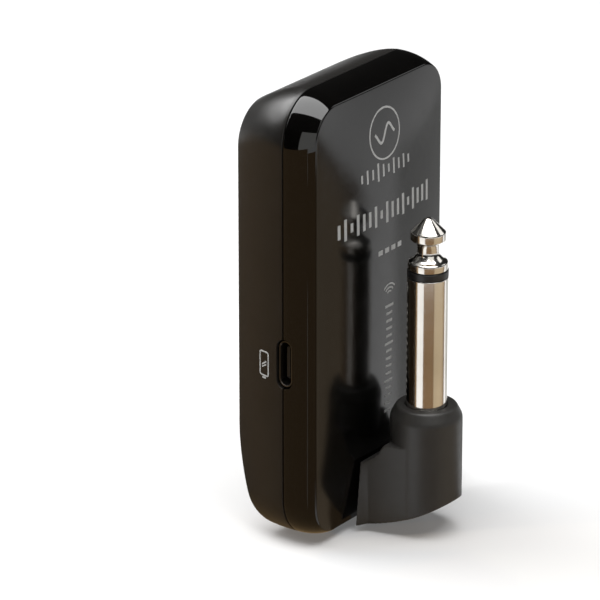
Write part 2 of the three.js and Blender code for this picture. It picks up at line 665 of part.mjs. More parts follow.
// A lead rises from the connector and bends back over to the lower end of the cell.
function addLead(name, x, y, finish) {
  const low = 22.8;
  const high = BATTERY.z - BATTERY.height / 2 - 0.3;
  const path = new THREE.CatmullRomCurve3([
    new THREE.Vector3(x, y, low),
    new THREE.Vector3(x, y + 0.2, low + 1),
    new THREE.Vector3(x + 1, y + 1.5, (low + high) / 2 + 0.4),
    new THREE.Vector3(x + 2, y + 2.4, high - 0.9),
    new THREE.Vector3(x + 2, y + 2.5, high),
  ]);
  const section = new THREE.Shape();
  section.absarc(0, 0, 0.55, 0, 2 * Math.PI, false);
  const geometry = new THREE.ExtrudeGeometry(section, {
    steps: 10,
    extrudePath: path,
    curveSegments: 4,
    bevelEnabled: false,
  });
  addPiece(caseBody, name, solid(geometry), finish);
}

function addCaseScrews() {
  for (const [name, side] of [["case_screw_left", -1], ["case_screw_right", 1]]) {
    const seat = CASE_SCREW.seatY + STACK_GAP;
    const head = alongY(rod(1.65, seat, seat + 1.2, SMALL_ROUND));
    const shank = alongY(rod(0.82, 2.6, seat + 0.5, 12));
    const drive = box([-1, seat + 0.6, -0.18], [1, seat + 2, 0.18]);
    const cross = drive.add(drive.rotate([0, 90, 0]));
    const place = [side * CASE_SCREW.x, 0, CASE_SCREW.z];
    addPiece(caseBody, name, head.add(shank).subtract(cross), steel, place);
  }
}

addPiece(caseBody, "front_cover", frontCover(), glossPlastic);
addPiece(caseBody, "back_shell", backShell(), mattePlastic);
const bush = alongY(tube(BUSH_RADIUS, BUSH_BORE, 0.1, PARTING_Y - PARTING_GAP));
addPiece(caseBody, "swivel_bush", bush, whiteNylon, [0, 0, PIVOT_Z]);
addPiece(caseBody, "usb_port", usbPort(), steel, [0, USB.y, USB.z]);
addSwivel();
addSwitch();
addButton();
addLights();
addBoard();
addElectronics();
addBattery();
addCaseScrews();

export default part;
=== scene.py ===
"""Looks of a wireless guitar transmitter around its CAD frame: fine shells, plug, controls and print."""

import json
import math
from types import SimpleNamespace as Size

import bpy
import numpy as np
from mathutils import Matrix, Vector


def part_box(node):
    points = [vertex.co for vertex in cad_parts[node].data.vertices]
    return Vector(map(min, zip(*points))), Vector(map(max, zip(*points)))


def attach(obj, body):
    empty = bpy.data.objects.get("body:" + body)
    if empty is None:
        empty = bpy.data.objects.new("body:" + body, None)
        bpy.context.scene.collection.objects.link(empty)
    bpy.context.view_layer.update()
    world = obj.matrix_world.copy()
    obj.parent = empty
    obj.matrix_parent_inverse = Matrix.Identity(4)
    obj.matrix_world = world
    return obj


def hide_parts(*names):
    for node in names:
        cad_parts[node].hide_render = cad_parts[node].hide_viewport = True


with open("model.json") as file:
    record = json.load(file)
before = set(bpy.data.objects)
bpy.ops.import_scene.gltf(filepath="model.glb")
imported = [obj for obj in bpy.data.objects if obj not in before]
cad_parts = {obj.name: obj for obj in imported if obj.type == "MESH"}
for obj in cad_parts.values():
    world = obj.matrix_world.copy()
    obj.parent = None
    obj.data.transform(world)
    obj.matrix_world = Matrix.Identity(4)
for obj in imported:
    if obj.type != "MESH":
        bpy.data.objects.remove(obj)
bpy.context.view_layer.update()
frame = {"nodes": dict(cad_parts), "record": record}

# ---- Sizes in millimetres. Depths (y) run from the edge of the front face to the back. ----
MM = 0.001
CASE_DEPTH = 15.8
SHELL_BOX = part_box("back_shell")
OFFSET_Y = SHELL_BOX[1].y / MM - CASE_DEPTH  # from depths to the frame's y
HALF_WIDTH = (SHELL_BOX[1].x - SHELL_BOX[0].x) / MM / 2
HEIGHT = SHELL_BOX[1].z / MM

PARTING_Y = 5.1
PARTING_GAP = 0.1
LIP = 0.12  # rounding beside the parting gap
WALL = 1.5
BAND_INSET = 1.65
BAND_RADIUS = (PARTING_Y**2 + BAND_INSET**2) / (2 * BAND_INSET)
CROWN = 1.5
CORNER_PARTING, CORNER_FACE, CORNER_BACK = 7.8, 5.0, 6.2
SIDE_TAPER, TOP_TAPER, SHELL_BULGE = 3.21, 4.15, 1.6
BACK_EDGE = 0.5
TAIL_DEPTH, TAIL_HEIGHT, TAIL_FILLET = 8.5, 20.5, 0.7
FACE_EDGE = 0.16  # half-size of the rounded edge between face and band
INNER_MIDDLE_Z, BACK_MIDDLE_Z = 43.0, 44.0  # where the back's flats shrink to

PLUG_Y = -8.95
PIVOT_Z = 6.0
SHAFT_HOLE = 2.92  # radius, through the cover
POD_RADIUS = 5.65
SHOULDER_Z = 20.85
SHOULDER_CHAMFER = (0.95, 1.8)  # across, down
ARM_BACK_Y = -1.3
ARM_FOLD = Size(y=-2.5, half=6.7, half_low=8.5, half_high=6.3)  # the arm flares behind the fold
ARM_TOP = Size(y=0.5, z=17.2, radius=6.0, limit=15.0)  # the hollow curve above the arm
UNDER = Size(y=3.3, z=0.69, radius=33.0)  # lowest point and radius of the curve below the arm
HOUSING_BORE = Size(floor=6.3, radius=3.75, lip_z=19.65, lip=3.28, mouth=3.5)
SHAFT_SEAT = Size(radius=2.27, y=-3.52)

SLEEVE = Size(bore=1.95, root=12.5, grip=3.6, grip_top=19.4, radius=3.175, top=41.85)
RING = Size(bore=1.05, radius=3.2, top=43.05)
TIP = Size(bore=1.0, bore_top=46.6, collar=3.1, collar_top=44.35, neck=1.65, neck_z=45.6,
       head=2.75, head_z=47.87, cone_z=49.1, top=51.3)
PLUG_GAP = 0.12  # between sleeve, ring and tip

USB = Size(y=4.9, z=30.1, length=7.6, height=2.5, depth=5.4, recess=0.5, wall=0.3)
USB_TONGUE = Size(length=5.2, thick=0.64, contacts=12, pitch=0.38, contact_half=0.1)
SWITCH = Size(y=5.1, z=48.75, length=7.2, width=3.0, travel=1.8, proud=0.8)
KNOB = Size(edge=0.35, margin=0.6, grooves=6, groove=0.4, samples=130)
BUTTON = Size(y=5.1, z=37.3, length=7.5, width=3.0, proud=0.5, edge=0.28, crown=0.06)
FLANGE_WIDTH, NECK_WIDTH = 3.9, 2.4  # the hidden parts that hold the knob and the button in
LED = Size(y=2.9, z=30.0, pitch=4.0, radius=1.2)
PORT_GAP, CONTROL_GAP = 0.4, 0.3  # how much wider an opening is than what sits in it
PORT_FLARE, CONTROL_FLARE = 0.14, 0.1
PIPE_CLEAR = 0.12
LENS = Size(length=3.3, dome=0.35, proud=0.06)
SCREW = Size(x=12.4, z=9.6, well=1.9, seat=8.0, boss=2.9, boss_end=11.6)


# ---- Mesh helpers ----
def to_frame(points):
    """Case millimetres (x, depth, z) to the frame's metres."""
    moved = np.array(points, float).reshape(-1, 3) + np.array([0.0, OFFSET_Y, 0.0])
    return moved * MM


def signed_volume(points, faces):
    total = 0.0
    for face in faces:
        p = points[list(face)]
        total += np.einsum("ij,ij->i", np.cross(p[1:-1] - p[0], p[2:] - p[0]), p[:1] - points[:1]).sum()
    return total


def mesh_object(name, points, faces):
    """An object in the scene, from points in metres."""
    mesh = bpy.data.meshes.new(name)
    mesh.from_pydata([tuple(p) for p in points], [], [tuple(f) for f in faces])
    mesh.validate()
    obj = bpy.data.objects.new(name, mesh)
    bpy.context.scene.collection.objects.link(obj)
    return obj


def new_mesh(name, points, faces, angle=35.0):
    """A closed smooth mesh whose faces look outward."""
    points = to_frame(points)
    if signed_volume(points, faces) < 0:
        faces = [tuple(reversed(face)) for face in faces]
    obj = mesh_object(name, points, faces)
    shade(obj, angle)
    return obj


def shade(obj, angle=35.0):
    obj.data.polygons.foreach_set("use_smooth", [True] * len(obj.data.polygons))
    obj.data.set_sharp_from_angle(angle=math.radians(angle))


def finish_piece(obj, body, slot, replaced=None):
    obj.data.materials.clear()
    obj.data.materials.append(MATERIALS[slot])
    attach(obj, body)
    if replaced:
        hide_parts(replaced)


def loft(name, rings):
    """Closed rings of equal count, in order from one end to the other, with both ends capped."""
    count = len(rings[0])
    points = np.concatenate([np.array(r, float) for r in rings])
    faces = []
    for ring in range(len(rings) - 1):
        a = ring * count
        for k in range(count):
            n = (k + 1) % count
            faces.append((a + k, a + count + k, a + count + n, a + n))
    last = (len(rings) - 1) * count
    faces.append(tuple(range(count)))
    faces.append(tuple(last + k for k in reversed(range(count))))
    return new_mesh(name, points, faces)


def lathe(name, profile, centre, axis="z", sides=96):
    """Turns a closed [radius, height] profile. Points on the axis have radius 0."""
    points, rows = [], []
    for radius, height in profile:
        if radius < 1e-9:
            rows.append([len(points)])
            points.append((0.0, 0.0, height))
        else:
            rows.append(list(range(len(points), len(points) + sides)))
            for k in range(sides):
                t = 2 * math.pi * k / sides
                points.append((radius * math.cos(t), radius * math.sin(t), height))
    faces = []
    closed = profile[0][0] > 1e-9
    pairs = list(zip(rows, rows[1:])) + ([(rows[-1], rows[0])] if closed else [])
    for low, high in pairs:
        for k in range(sides):
            n = (k + 1) % sides
            if len(low) == 1 and len(high) == 1:
                continue
            if len(low) == 1:
                faces.append((low[0], high[n], high[k]))
            elif len(high) == 1:
                faces.append((low[k], low[n], high[0]))
            else:
                faces.append((low[k], low[n], high[n], high[k]))
    p = np.array(points)
    if axis == "y":
        p = np.stack([p[:, 0], p[:, 2], -p[:, 1]], 1)
    if axis == "x":
        p = np.stack([p[:, 2], p[:, 1], -p[:, 0]], 1)
    return new_mesh(name, p + np.array(centre), faces)


def rounded_profile(corners, steps=5):
    """Rounds a polyline's corners: each is (radius, height, rounding)."""
    out = []
    for i, (r, h, f) in enumerate(corners):
        if f <= 0 or i in (0, len(corners) - 1):
            out.append((r, h))
            continue
        here = np.array([r, h])
        before = np.array(corners[i - 1][:2]) - here
        after = np.array(corners[i + 1][:2]) - here
        cut_a = min(f, np.linalg.norm(before) * 0.49)
        cut_b = min(f, np.linalg.norm(after) * 0.49)
        start = here + before / np.linalg.norm(before) * cut_a
        end = here + after / np.linalg.norm(after) * cut_b
        for s in range(steps + 1):
            t = s / steps
            p = (1 - t) ** 2 * start + 2 * t * (1 - t) * here + t**2 * end
            out.append((float(p[0]), float(p[1])))
    return out


def boolean(obj, other, operation="DIFFERENCE"):
    modifier = obj.modifiers.new("cut", "BOOLEAN")
    modifier.operation = operation
    modifier.solver = "EXACT"
    modifier.object = other
    apply_modifiers(obj)
    bpy.data.objects.remove(other)


def apply_modifiers(obj):
    graph = bpy.context.evaluated_depsgraph_get()
    mesh = bpy.data.meshes.new_from_object(obj.evaluated_get(graph))
    obj.modifiers.clear()
    old = obj.data
    obj.data = mesh
    bpy.data.meshes.remove(old)


def joined(name, objects):
    """One object that holds the meshes of several, which don't touch each other."""
    points, faces = [], []
    for o in objects:
        start = len(points)
        points += [tuple(v.co) for v in o.data.vertices]
        faces += [tuple(start + i for i in p.vertices) for p in o.data.polygons]
        bpy.data.objects.remove(o)
    return mesh_object(name, points, faces)


def slot_outline(length, width, segments=14):
    """A stadium in (z, y) about the origin."""
    r, s = width / 2, (length - width) / 2
    points = []
    for centre, start in ((s, -math.pi / 2), (-s, math.pi / 2)):
        for i in range(segments + 1):
            t = start + math.pi * i / segments
            points.append((centre + r * math.cos(t), r * math.sin(t)))
    return points


def rounded_rect(length, width, radius, segments=6):
    """A rounded rectangle in (z, y) about the origin."""
    hz, hy = length / 2 - radius, width / 2 - radius
    points = []
    for cz, cy, start in ((hz, -hy, -90), (hz, hy, 0), (-hz, hy, 90), (-hz, -hy, 180)):
        for i in range(segments + 1):
            t = math.radians(start + 90 * i / segments)
            points.append((cz + radius * math.cos(t), cy + radius * math.sin(t)))
    return points


# ---- The case's cross-sections ----
def band_inset(y):
    return BAND_RADIUS - math.sqrt(BAND_RADIUS**2 - (PARTING_Y - y) ** 2)


def crown(x, z):
    across = x / (HALF_WIDTH - BAND_INSET)
    along = np.abs(z - HEIGHT / 2) / (HEIGHT / 2 - BAND_INSET)
    return CROWN * np.maximum(0, 1 - across**2) * np.maximum(0, 1 - along**3)


def sample(path, weights, count):
    """count points along a polyline, spaced by length times weight."""
    path = np.array(path, float)
    lengths = np.linalg.norm(np.diff(path, axis=0), axis=1) * np.array(weights)
    at = np.concatenate([[0], np.cumsum(lengths)])
    wanted = np.linspace(0, at[-1], count)
    return np.stack([np.interp(wanted, at, path[:, i]) for i in (0, 1)], 1)


FILLET_STEPS, CURVE_STEPS = 12, 24
FILLET_WEIGHT, CURVE_WEIGHT = 5.0, 2.0  # points sit closer together on tight curves
SIDE_POINTS, LEVEL_POINTS, CORNER_POINTS = 70, 12, 22


def section(half, high, radius, low=0.0, floor=0.0, low_radius=None):
    """Points (x, z) round a section: a rounded rectangle cut off level at floor above low."""
    big = low_radius or radius
    f = min(TAIL_FILLET, big)
    centre = np.array([half - big, low + big])
    if floor + f < big:
        cx = centre[0] + math.sqrt(max(0.0, (big - f) ** 2 - (big - f - floor) ** 2))
        small = np.array([cx, low + floor + f])
        first = math.atan2(small[1] - centre[1], small[0] - centre[0])
        if floor <= 1e-9:
            first = -math.pi / 2
    else:
        small = np.array([half - f, low + floor + f])
        first = 0.0
    path, weights = [small + np.array([0, -f])], []
    for i in range(1, FILLET_STEPS + 1):
        t = -math.pi / 2 + (first + math.pi / 2) * i / FILLET_STEPS
        path.append(small + f * np.array([math.cos(t), math.sin(t)]))
        weights.append(FILLET_WEIGHT)
    for i in range(1, CURVE_STEPS + 1 if first else 1):
        t = first * (1 - i / CURVE_STEPS)
        path.append(centre + big * np.array([math.cos(t), math.sin(t)]))
        weights.append(CURVE_WEIGHT)
    path.append(np.array([half, high - radius]))
    weights.append(1.0)
    side = sample(path, weights, SIDE_POINTS)
    base = sample([(0.0, low + floor), tuple(side[0])], [1.0], LEVEL_POINTS)[:-1]
    corner = [
        (half - radius + radius * math.cos(t), high - radius + radius * math.sin(t))
        for t in np.linspace(0, math.pi / 2, CORNER_POINTS)[1:]
    ]
    top = sample([corner[-1], (0.0, high)], [1.0], LEVEL_POINTS)[1:]
    right = np.concatenate([base, side, np.array(corner), top])
    left = right[1:-1][::-1] * np.array([-1, 1])
    return np.concatenate([right, left])


def ring_at(points, y):
    return np.stack([points[:, 0], np.full(len(points), y), points[:, 1]], 1)


def cover_section(inset):
    share = inset / BAND_INSET
    radius = CORNER_PARTING + (CORNER_FACE - CORNER_PARTING) * share
    return section(HALF_WIDTH - inset, HEIGHT - inset, radius, low=inset)


def shell_curve(y):
    return ((y - PARTING_Y) / (CASE_DEPTH - PARTING_Y)) ** SHELL_BULGE


def shell_section(y, wall=0.0, extra=0.0, floor=0.0):
    share = (y - PARTING_Y) / (CASE_DEPTH - PARTING_Y)
    radius = CORNER_PARTING + (CORNER_BACK - CORNER_PARTING) * share - wall - extra
    half = HALF_WIDTH - SIDE_TAPER * shell_curve(y) - wall - extra
    high = HEIGHT - TOP_TAPER * shell_curve(y) - wall - extra
    return section(half, high, radius, low=wall, floor=max(0.0, floor - wall), low_radius=radius + extra)


def tail_floor(y, wall=0.0):
    depth, height = TAIL_DEPTH - wall, TAIL_HEIGHT - wall
    t = min(1.0, max(0.0, (y - (CASE_DEPTH - TAIL_DEPTH)) / depth))
    return TAIL_HEIGHT - height * math.sqrt(1 - t * t)


def face_rings(y, edge_points, shares):
    """Copies of the face's edge that shrink to its middle, on the dome."""
    rings = []
    middle = np.array([0.0, HEIGHT / 2])
    for share in shares:
        p = middle + (edge_points - middle) * share
        rings.append(np.stack([p[:, 0], y - crown(p[:, 0], p[:, 1]), p[:, 1]], 1))
    return rings


# ---- Cutters through the side walls ----
def flared(name, outline, x_in, x_face, x_out, chamfer, centre):
    """A cutter along X that widens by chamfer where it leaves the wall at x_face."""
    z0, y0 = centre
    sign = 1 if x_out > x_in else -1
    reach = abs(x_out - x_face) + chamfer
    rings = []
    for x, grow in ((x_in, 0.0), (x_face - sign * chamfer, 0.0), (x_out, reach)):
        ring = []
        for z, y in outline:
            n = math.hypot(z, y) or 1.0
            ring.append((x, y0 + y * (1 + grow / n), z0 + z * (1 + grow / n)))
        rings.append(ring)
    return loft(name, rings)


def side_cutters():
    """Cutters for the port, the switch's window and the button's hole."""
    out, deep = HALF_WIDTH + 0.6, HALF_WIDTH - WALL - 1.6
    usb = flared("cut_usb", slot_outline(USB.length + PORT_GAP, USB.height + PORT_GAP),
                 -deep, -HALF_WIDTH, -out, PORT_FLARE, (USB.z, USB.y))
    travel = SWITCH.travel
    window = rounded_rect(SWITCH.length + travel + CONTROL_GAP, SWITCH.width + CONTROL_GAP, 0.45)
    knob = flared("cut_knob", window, deep, HALF_WIDTH, out, CONTROL_FLARE,
                  (SWITCH.z + travel / 2, SWITCH.y))
    hole = rounded_rect(BUTTON.length + CONTROL_GAP, BUTTON.width + CONTROL_GAP, 0.5)
    button = flared("cut_button", hole, deep, HALF_WIDTH, out, CONTROL_FLARE, (BUTTON.z, BUTTON.y))
    return [usb, knob, button]


def rod(name, radius, low, high, centre, axis):
    return lathe(name, [(0, low), (radius, low), (radius, high), (0, high)], centre, axis, 64)


def led_z(number):
    return LED.z - LED.pitch * (number - 1)


# ---- Materials ----
class Nodes:
    """A short way to write a node tree."""

    def __init__(self, name):
        self.material = bpy.data.materials.new(name)
        self.material.use_nodes = True
        self.tree = self.material.node_tree
        self.shader = self.tree.nodes["Principled BSDF"]
        self.coords = self.tree.nodes.new("ShaderNodeTexCoord").outputs["Object"]

    def add(self, kind, links=(), operation=None):
        node = self.tree.nodes.new(kind)
        if operation:
            node.operation = operation
        for socket, output in links:
            self.tree.links.new(output, node.inputs[socket])
        return node

    def noise(self, scale, detail, stretch=(1, 1, 1)):
        """Noise with features of about 1/scale metres."""
        mapping = self.add("ShaderNodeMapping", [("Vector", self.coords)])
        mapping.inputs["Scale"].default_value = stretch
        node = self.add("ShaderNodeTexNoise", [("Vector", mapping.outputs[0])])
        node.inputs["Scale"].default_value = scale
        node.inputs["Detail"].default_value = detail
        node.inputs["Roughness"].default_value = 0.55
        return node.outputs["Fac"]

    def ramp(self, factor, stops):
        node = self.add("ShaderNodeValToRGB", [("Fac", factor)])
        ramp = node.color_ramp
        while len(ramp.elements) < len(stops):
            ramp.elements.new(0.5)
        for element, (position, color) in zip(ramp.elements, stops):
            element.position = position
            element.color = (*color, 1)
        return node.outputs["Color"]

    def range(self, value, low, high, from_low=0.3, from_high=0.7):
        node = self.add("ShaderNodeMapRange", [("Value", value)])
        node.inputs["From Min"].default_value = from_low
        node.inputs["From Max"].default_value = from_high
        node.inputs["To Min"].default_value = low
        node.inputs["To Max"].default_value = high
        return node.outputs["Result"]

    def bump(self, height, distance):
        node = self.add("ShaderNodeBump", [("Height", height)])
        node.inputs["Strength"].default_value = 1.0
        node.inputs["Distance"].default_value = distance
        return node.outputs["Normal"]

    def plug(self, socket, output):
        self.tree.links.new(output, self.shader.inputs[socket])

    def set(self, **values):
        for key, value in values.items():
            self.shader.inputs[key.replace("_", " ")].default_value = value


def plastic(name, dark, light, rough, grain, depth, mottling=180, more=None):
    """Moulded plastic: colour drifts between two tones, and a fine grain breaks the surface."""
    n = Nodes(name)
    n.plug("Base Color", n.ramp(n.noise(mottling, 4.0), [(0.3, dark), (0.72, light)]))
    n.plug("Roughness", n.range(n.noise(mottling * 2.7, 3.0), rough[0], rough[1]))
    n.plug("Normal", n.bump(n.noise(grain, 2.0), depth * MM))
    n.set(**{"IOR": 1.5, **(more or {})})
    return n.material


def gloss():
    """Polished black plastic. The band is crisp, and a slight haze on the face softens reflections."""
    n = Nodes("front_gloss")
    tones = [(0.3, (0.0012, 0.0011, 0.001)), (0.72, (0.0019, 0.0017, 0.0015))]
    n.plug("Base Color", n.ramp(n.noise(260, 4.0), tones))
    depth = n.add("ShaderNodeSeparateXYZ", [("Vector", n.coords)]).outputs["Y"]
    face_y = OFFSET_Y * MM
    haze = n.range(depth, FACE_HAZE, BAND_HAZE, face_y - 0.01 * MM, face_y + 0.05 * MM)
    uneven = n.range(n.noise(400, 3.0), 0.85, 1.15)
    n.plug("Roughness", n.add("ShaderNodeMath", [(0, haze), (1, uneven)], operation="MULTIPLY").outputs[0])
    n.plug("Normal", n.bump(n.noise(60, 1.0), 0.0004 * MM))
    n.set(IOR=1.5)
    return n.material


def metal(name, dark, light, rough, lines, depth, stretch=(1, 1, 30)):
    """Turned or rolled metal with fine lines along one direction."""
    n = Nodes(name)
    n.plug("Base Color", n.ramp(n.noise(90, 3.0), [(0.35, dark), (0.7, light)]))
    n.plug("Roughness", n.range(n.noise(lines, 2.0, stretch=stretch), rough[0], rough[1]))
    n.plug("Normal", n.bump(n.noise(lines, 2.0, stretch=stretch), depth * MM))
    n.set(Metallic=1.0)
    return n.material


FACE_HAZE, BAND_HAZE = 0.15, 0.05
# Dark and light tone, roughness range, grain, its depth in mm, then mottling and extra settings.
PLASTICS = {
    # shell_matte is set darker than arm_matte: partly the black plastic's own tone, partly painted shade
    # for the shade the neighbouring unit casts on the side wall.
    "shell_matte": ((0.0075, 0.0068, 0.006), (0.01, 0.0091, 0.008), (0.3, 0.38), 4200, 0.006),
    "arm_matte": ((0.026, 0.0245, 0.0225), (0.031, 0.0295, 0.027), (0.4, 0.48), 5200, 0.007),
    "control_black": ((0.009, 0.0085, 0.008), (0.013, 0.0125, 0.0115), (0.36, 0.46), 5200, 0.006),
    "black_nylon": ((0.008, 0.008, 0.008), (0.014, 0.014, 0.014), (0.28, 0.4), 3000, 0.004),
    "white_nylon": ((0.7, 0.68, 0.62), (0.8, 0.78, 0.73), (0.4, 0.5), 2600, 0.004, 180,
                    {"Subsurface_Weight": 0.15}),
    "board_green": ((0.012, 0.085, 0.042), (0.03, 0.16, 0.085), (0.25, 0.4), 900, 0.02, 700,
                    {"Coat_Weight": 0.4}),
    "chip_black": ((0.012, 0.012, 0.013), (0.026, 0.026, 0.028), (0.45, 0.6), 6000, 0.004, 500),
    "ceramic_white": ((0.62, 0.57, 0.47), (0.78, 0.74, 0.65), (0.4, 0.55), 3800, 0.004, 800),
    "foam_dark": ((0.012, 0.012, 0.012), (0.05, 0.05, 0.05), (0.85, 0.95), 2400, 0.12, 1200),
    "lead_red": ((0.42, 0.02, 0.015), (0.58, 0.04, 0.03), (0.4, 0.55), 3500, 0.004),
    "lead_black": ((0.012, 0.012, 0.012), (0.022, 0.022, 0.022), (0.4, 0.55), 3500, 0.004),
    "lens_clear": ((0.16, 0.17, 0.165), (0.24, 0.25, 0.24), (0.12, 0.22), 2200, 0.003, 500,
                   {"Coat_Weight": 0.5}),
}
# Dark and light tone, roughness range, lines, their depth in mm, and how the lines are stretched.
METALS = {
    "plug_nickel": ((0.72, 0.69, 0.64), (0.83, 0.8, 0.76), (0.11, 0.16), 500, 0.0005),
    "contact_brass": ((0.7, 0.5, 0.22), (0.82, 0.63, 0.32), (0.18, 0.3), 700, 0.001),
    "steel_parts": ((0.42, 0.43, 0.44), (0.56, 0.57, 0.58), (0.25, 0.4), 900, 0.001, (1, 30, 1)),
    "usb_steel": ((0.1, 0.1, 0.1), (0.16, 0.16, 0.165), (0.28, 0.4), 900, 0.001, (30, 1, 1)),
    "cell_wrap": ((0.5, 0.53, 0.56), (0.64, 0.67, 0.7), (0.28, 0.45), 240, 0.03, (1, 1, 4)),
}


def glowing():
    """A light pipe lit from behind, with a little frost in the plastic."""
    n = Nodes("lens_green")
    frost = n.noise(1600, 2.0)
    n.plug("Base Color", n.ramp(frost, [(0.3, (0.03, 0.62, 0.05)), (0.7, (0.08, 0.85, 0.1))]))
    n.plug("Emission Color", n.ramp(frost, [(0.25, (0.03, 0.72, 0.03)), (0.75, (0.16, 1.0, 0.12))]))
    n.plug("Roughness", n.range(frost, 0.15, 0.3))
    n.plug("Normal", n.bump(frost, 0.004 * MM))
    n.set(Emission_Strength=0.75)
    return n.material


def printed():
    """Pad-printed ink: light grey with slight gaps where the grain shows through."""
    n = Nodes("print_grey")
    tones = [(0.24, (0.2, 0.2, 0.195)), (0.42, (0.4, 0.4, 0.39))]
    n.plug("Base Color", n.ramp(n.noise(5200, 2.0), tones))
    n.plug("Roughness", n.range(n.noise(2000, 2.0), 0.45, 0.6))
    n.plug("Normal", n.bump(n.noise(4200, 2.0), 0.003 * MM))
    return n.material


MATERIALS = {"front_gloss": gloss(), "lens_green": glowing()}
MATERIALS.update({name: plastic(name, *values) for name, values in PLASTICS.items()})
MATERIALS.update({name: metal(name, *values) for name, values in METALS.items()})
PRINT = printed()


# ---- Case ----
def front_cover():
    back = PARTING_Y - PARTING_GAP
    face_edge = cover_section(BAND_INSET)
    shares = [0.02, 0.06, 0.11, *np.linspace(0.17, 0.95, 20)]
    rings = face_rings(0.0, face_edge, shares)
    for d in (0.55, 0.36, FACE_EDGE):
        inset = BAND_INSET + d
        p = section(HALF_WIDTH - inset, HEIGHT - inset, CORNER_FACE - d, low=inset)
        rings.append(np.stack([p[:, 0], -crown(p[:, 0], p[:, 1]), p[:, 1]], 1))
    corner_in = rings[-1]
    band_start = FACE_EDGE * 0.9
    corner_out = ring_at(cover_section(band_inset(band_start)), band_start)
    corner = ring_at(face_edge, 0.0)
    for t in (0.2, 0.4, 0.6, 0.8):
        rings.append((1 - t) ** 2 * corner_in + 2 * t * (1 - t) * corner + t * t * corner_out)
    for y in [band_start, *np.linspace(0.4, back - LIP, 14)]:
        rings.append(ring_at(cover_section(band_inset(y)), y))
    for t in (0.35, 0.7, 1.0):
        a = t * math.pi / 2
        y = back - LIP + LIP * math.sin(a)
        rings.append(ring_at(cover_section(band_inset(back) + LIP * (1 - math.cos(a))), y))
    for y in (back, 4.2, 3.4, 2.6, 2.0, WALL):
        rings.append(ring_at(cover_section_wall(y), y))
    rings += face_rings(WALL, cover_section_wall(WALL), [0.93, 0.8, 0.6, 0.4, 0.2, 0.05])
    cover = loft("gloss_cover", rings)
    pipe_hole = LED.radius + PIPE_CLEAR
    pipes = [
        rod(f"cut_led_{i}", pipe_hole, HALF_WIDTH - 4, HALF_WIDTH + 2, (0, LED.y, led_z(i)), "x")
        for i in (1, 2, 3, 4)
    ]
    shaft = rod("cut_shaft", SHAFT_HOLE, -4, 6, (0, 0, PIVOT_Z), "y")
    boolean(cover, joined("cutters", side_cutters() + pipes + [shaft]))
    shade(cover)
    finish_piece(cover, "case", "front_gloss", "front_cover")


def cover_section_wall(y):
    inset = band_inset(y)
    share = inset / BAND_INSET
    radius = CORNER_PARTING + (CORNER_FACE - CORNER_PARTING) * share - WALL
    total = inset + WALL
    return section(HALF_WIDTH - total, HEIGHT - total, radius, low=total)


def back_shell():
    front = PARTING_Y + PARTING_GAP
    inner_back = CASE_DEPTH - WALL
    rings = []
    inner_edge = shell_section(inner_back, WALL, floor=tail_floor(inner_back, WALL))
    for share in (0.05, 0.4, 0.8):
        middle = np.array([0.0, INNER_MIDDLE_Z])
        rings.append(ring_at(middle + (inner_edge - middle) * share, inner_back))
    tail_start = CASE_DEPTH - TAIL_DEPTH
    for t in np.linspace(1, 0, 10):
        y = tail_start + (inner_back - tail_start) * math.sin(t * math.pi / 2)
        rings.append(ring_at(shell_section(y, WALL, floor=tail_floor(y, WALL)), y))
    for y in (6.8, 6.0, front):
        rings.append(ring_at(shell_section(y, WALL), y))
    for t in (0.0, 0.35, 0.7, 1.0):
        a = t * math.pi / 2
        y = front + LIP * (1 - math.cos(a))
        rings.append(ring_at(shell_section(y, extra=LIP * (1 - math.sin(a))), y))
    for y in (5.9, 6.6):
        rings.append(ring_at(shell_section(y), y))
    for t in np.linspace(0, 1, 46):
        y = tail_start + TAIL_DEPTH * math.sin(t * math.pi / 2)
        e = max(0.0, (y - (CASE_DEPTH - BACK_EDGE)) / BACK_EDGE)
        extra = BACK_EDGE * (1 - math.sqrt(max(0.0, 1 - min(1.0, e) ** 2)))
        rings.append(ring_at(shell_section(y, extra=extra, floor=tail_floor(y)), y))
    last = rings[-1][:, [0, 2]]
    for share in (0.9, 0.6, 0.3, 0.05):
        middle = np.array([0.0, BACK_MIDDLE_Z])
        rings.append(ring_at(middle + (last - middle) * share, CASE_DEPTH))
    shell = loft("matte_shell", rings)
    for side in (-1, 1):
        place = (side * SCREW.x, 0, SCREW.z)
        boolean(shell, rod("screw_boss", SCREW.boss, front, SCREW.boss_end, place, "y"), "UNION")
        boolean(shell, rod("screw_well", SCREW.well, SCREW.seat, CASE_DEPTH + 1.2, place, "y"))
    boolean(shell, joined("cutters", side_cutters()))
    shade(shell)
    finish_piece(shell, "case", "shell_matte", "back_shell")


front_cover()
back_shell()


# ---- Swivelling plug ----
def voxel_body(name, obj, size, smoothing):
    remesh = obj.modifiers.new("remesh", "REMESH")
    remesh.mode = "VOXEL"
    remesh.voxel_size = size * MM
    smooth = obj.modifiers.new("smooth", "SMOOTH")
    smooth.factor = 0.5
    smooth.iterations = smoothing
    apply_modifiers(obj)
    obj.name = name
    return obj


def arm_half_widths(y):
    """Half-widths of the arm at its foot and at its top."""
    depths = (PLUG_Y, ARM_FOLD.y, ARM_BACK_Y)
    start, middle = POD_RADIUS, ARM_FOLD.half
    return [np.interp(y, depths, (start, middle, end)) for end in (ARM_FOLD.half_low, ARM_FOLD.half_high)]


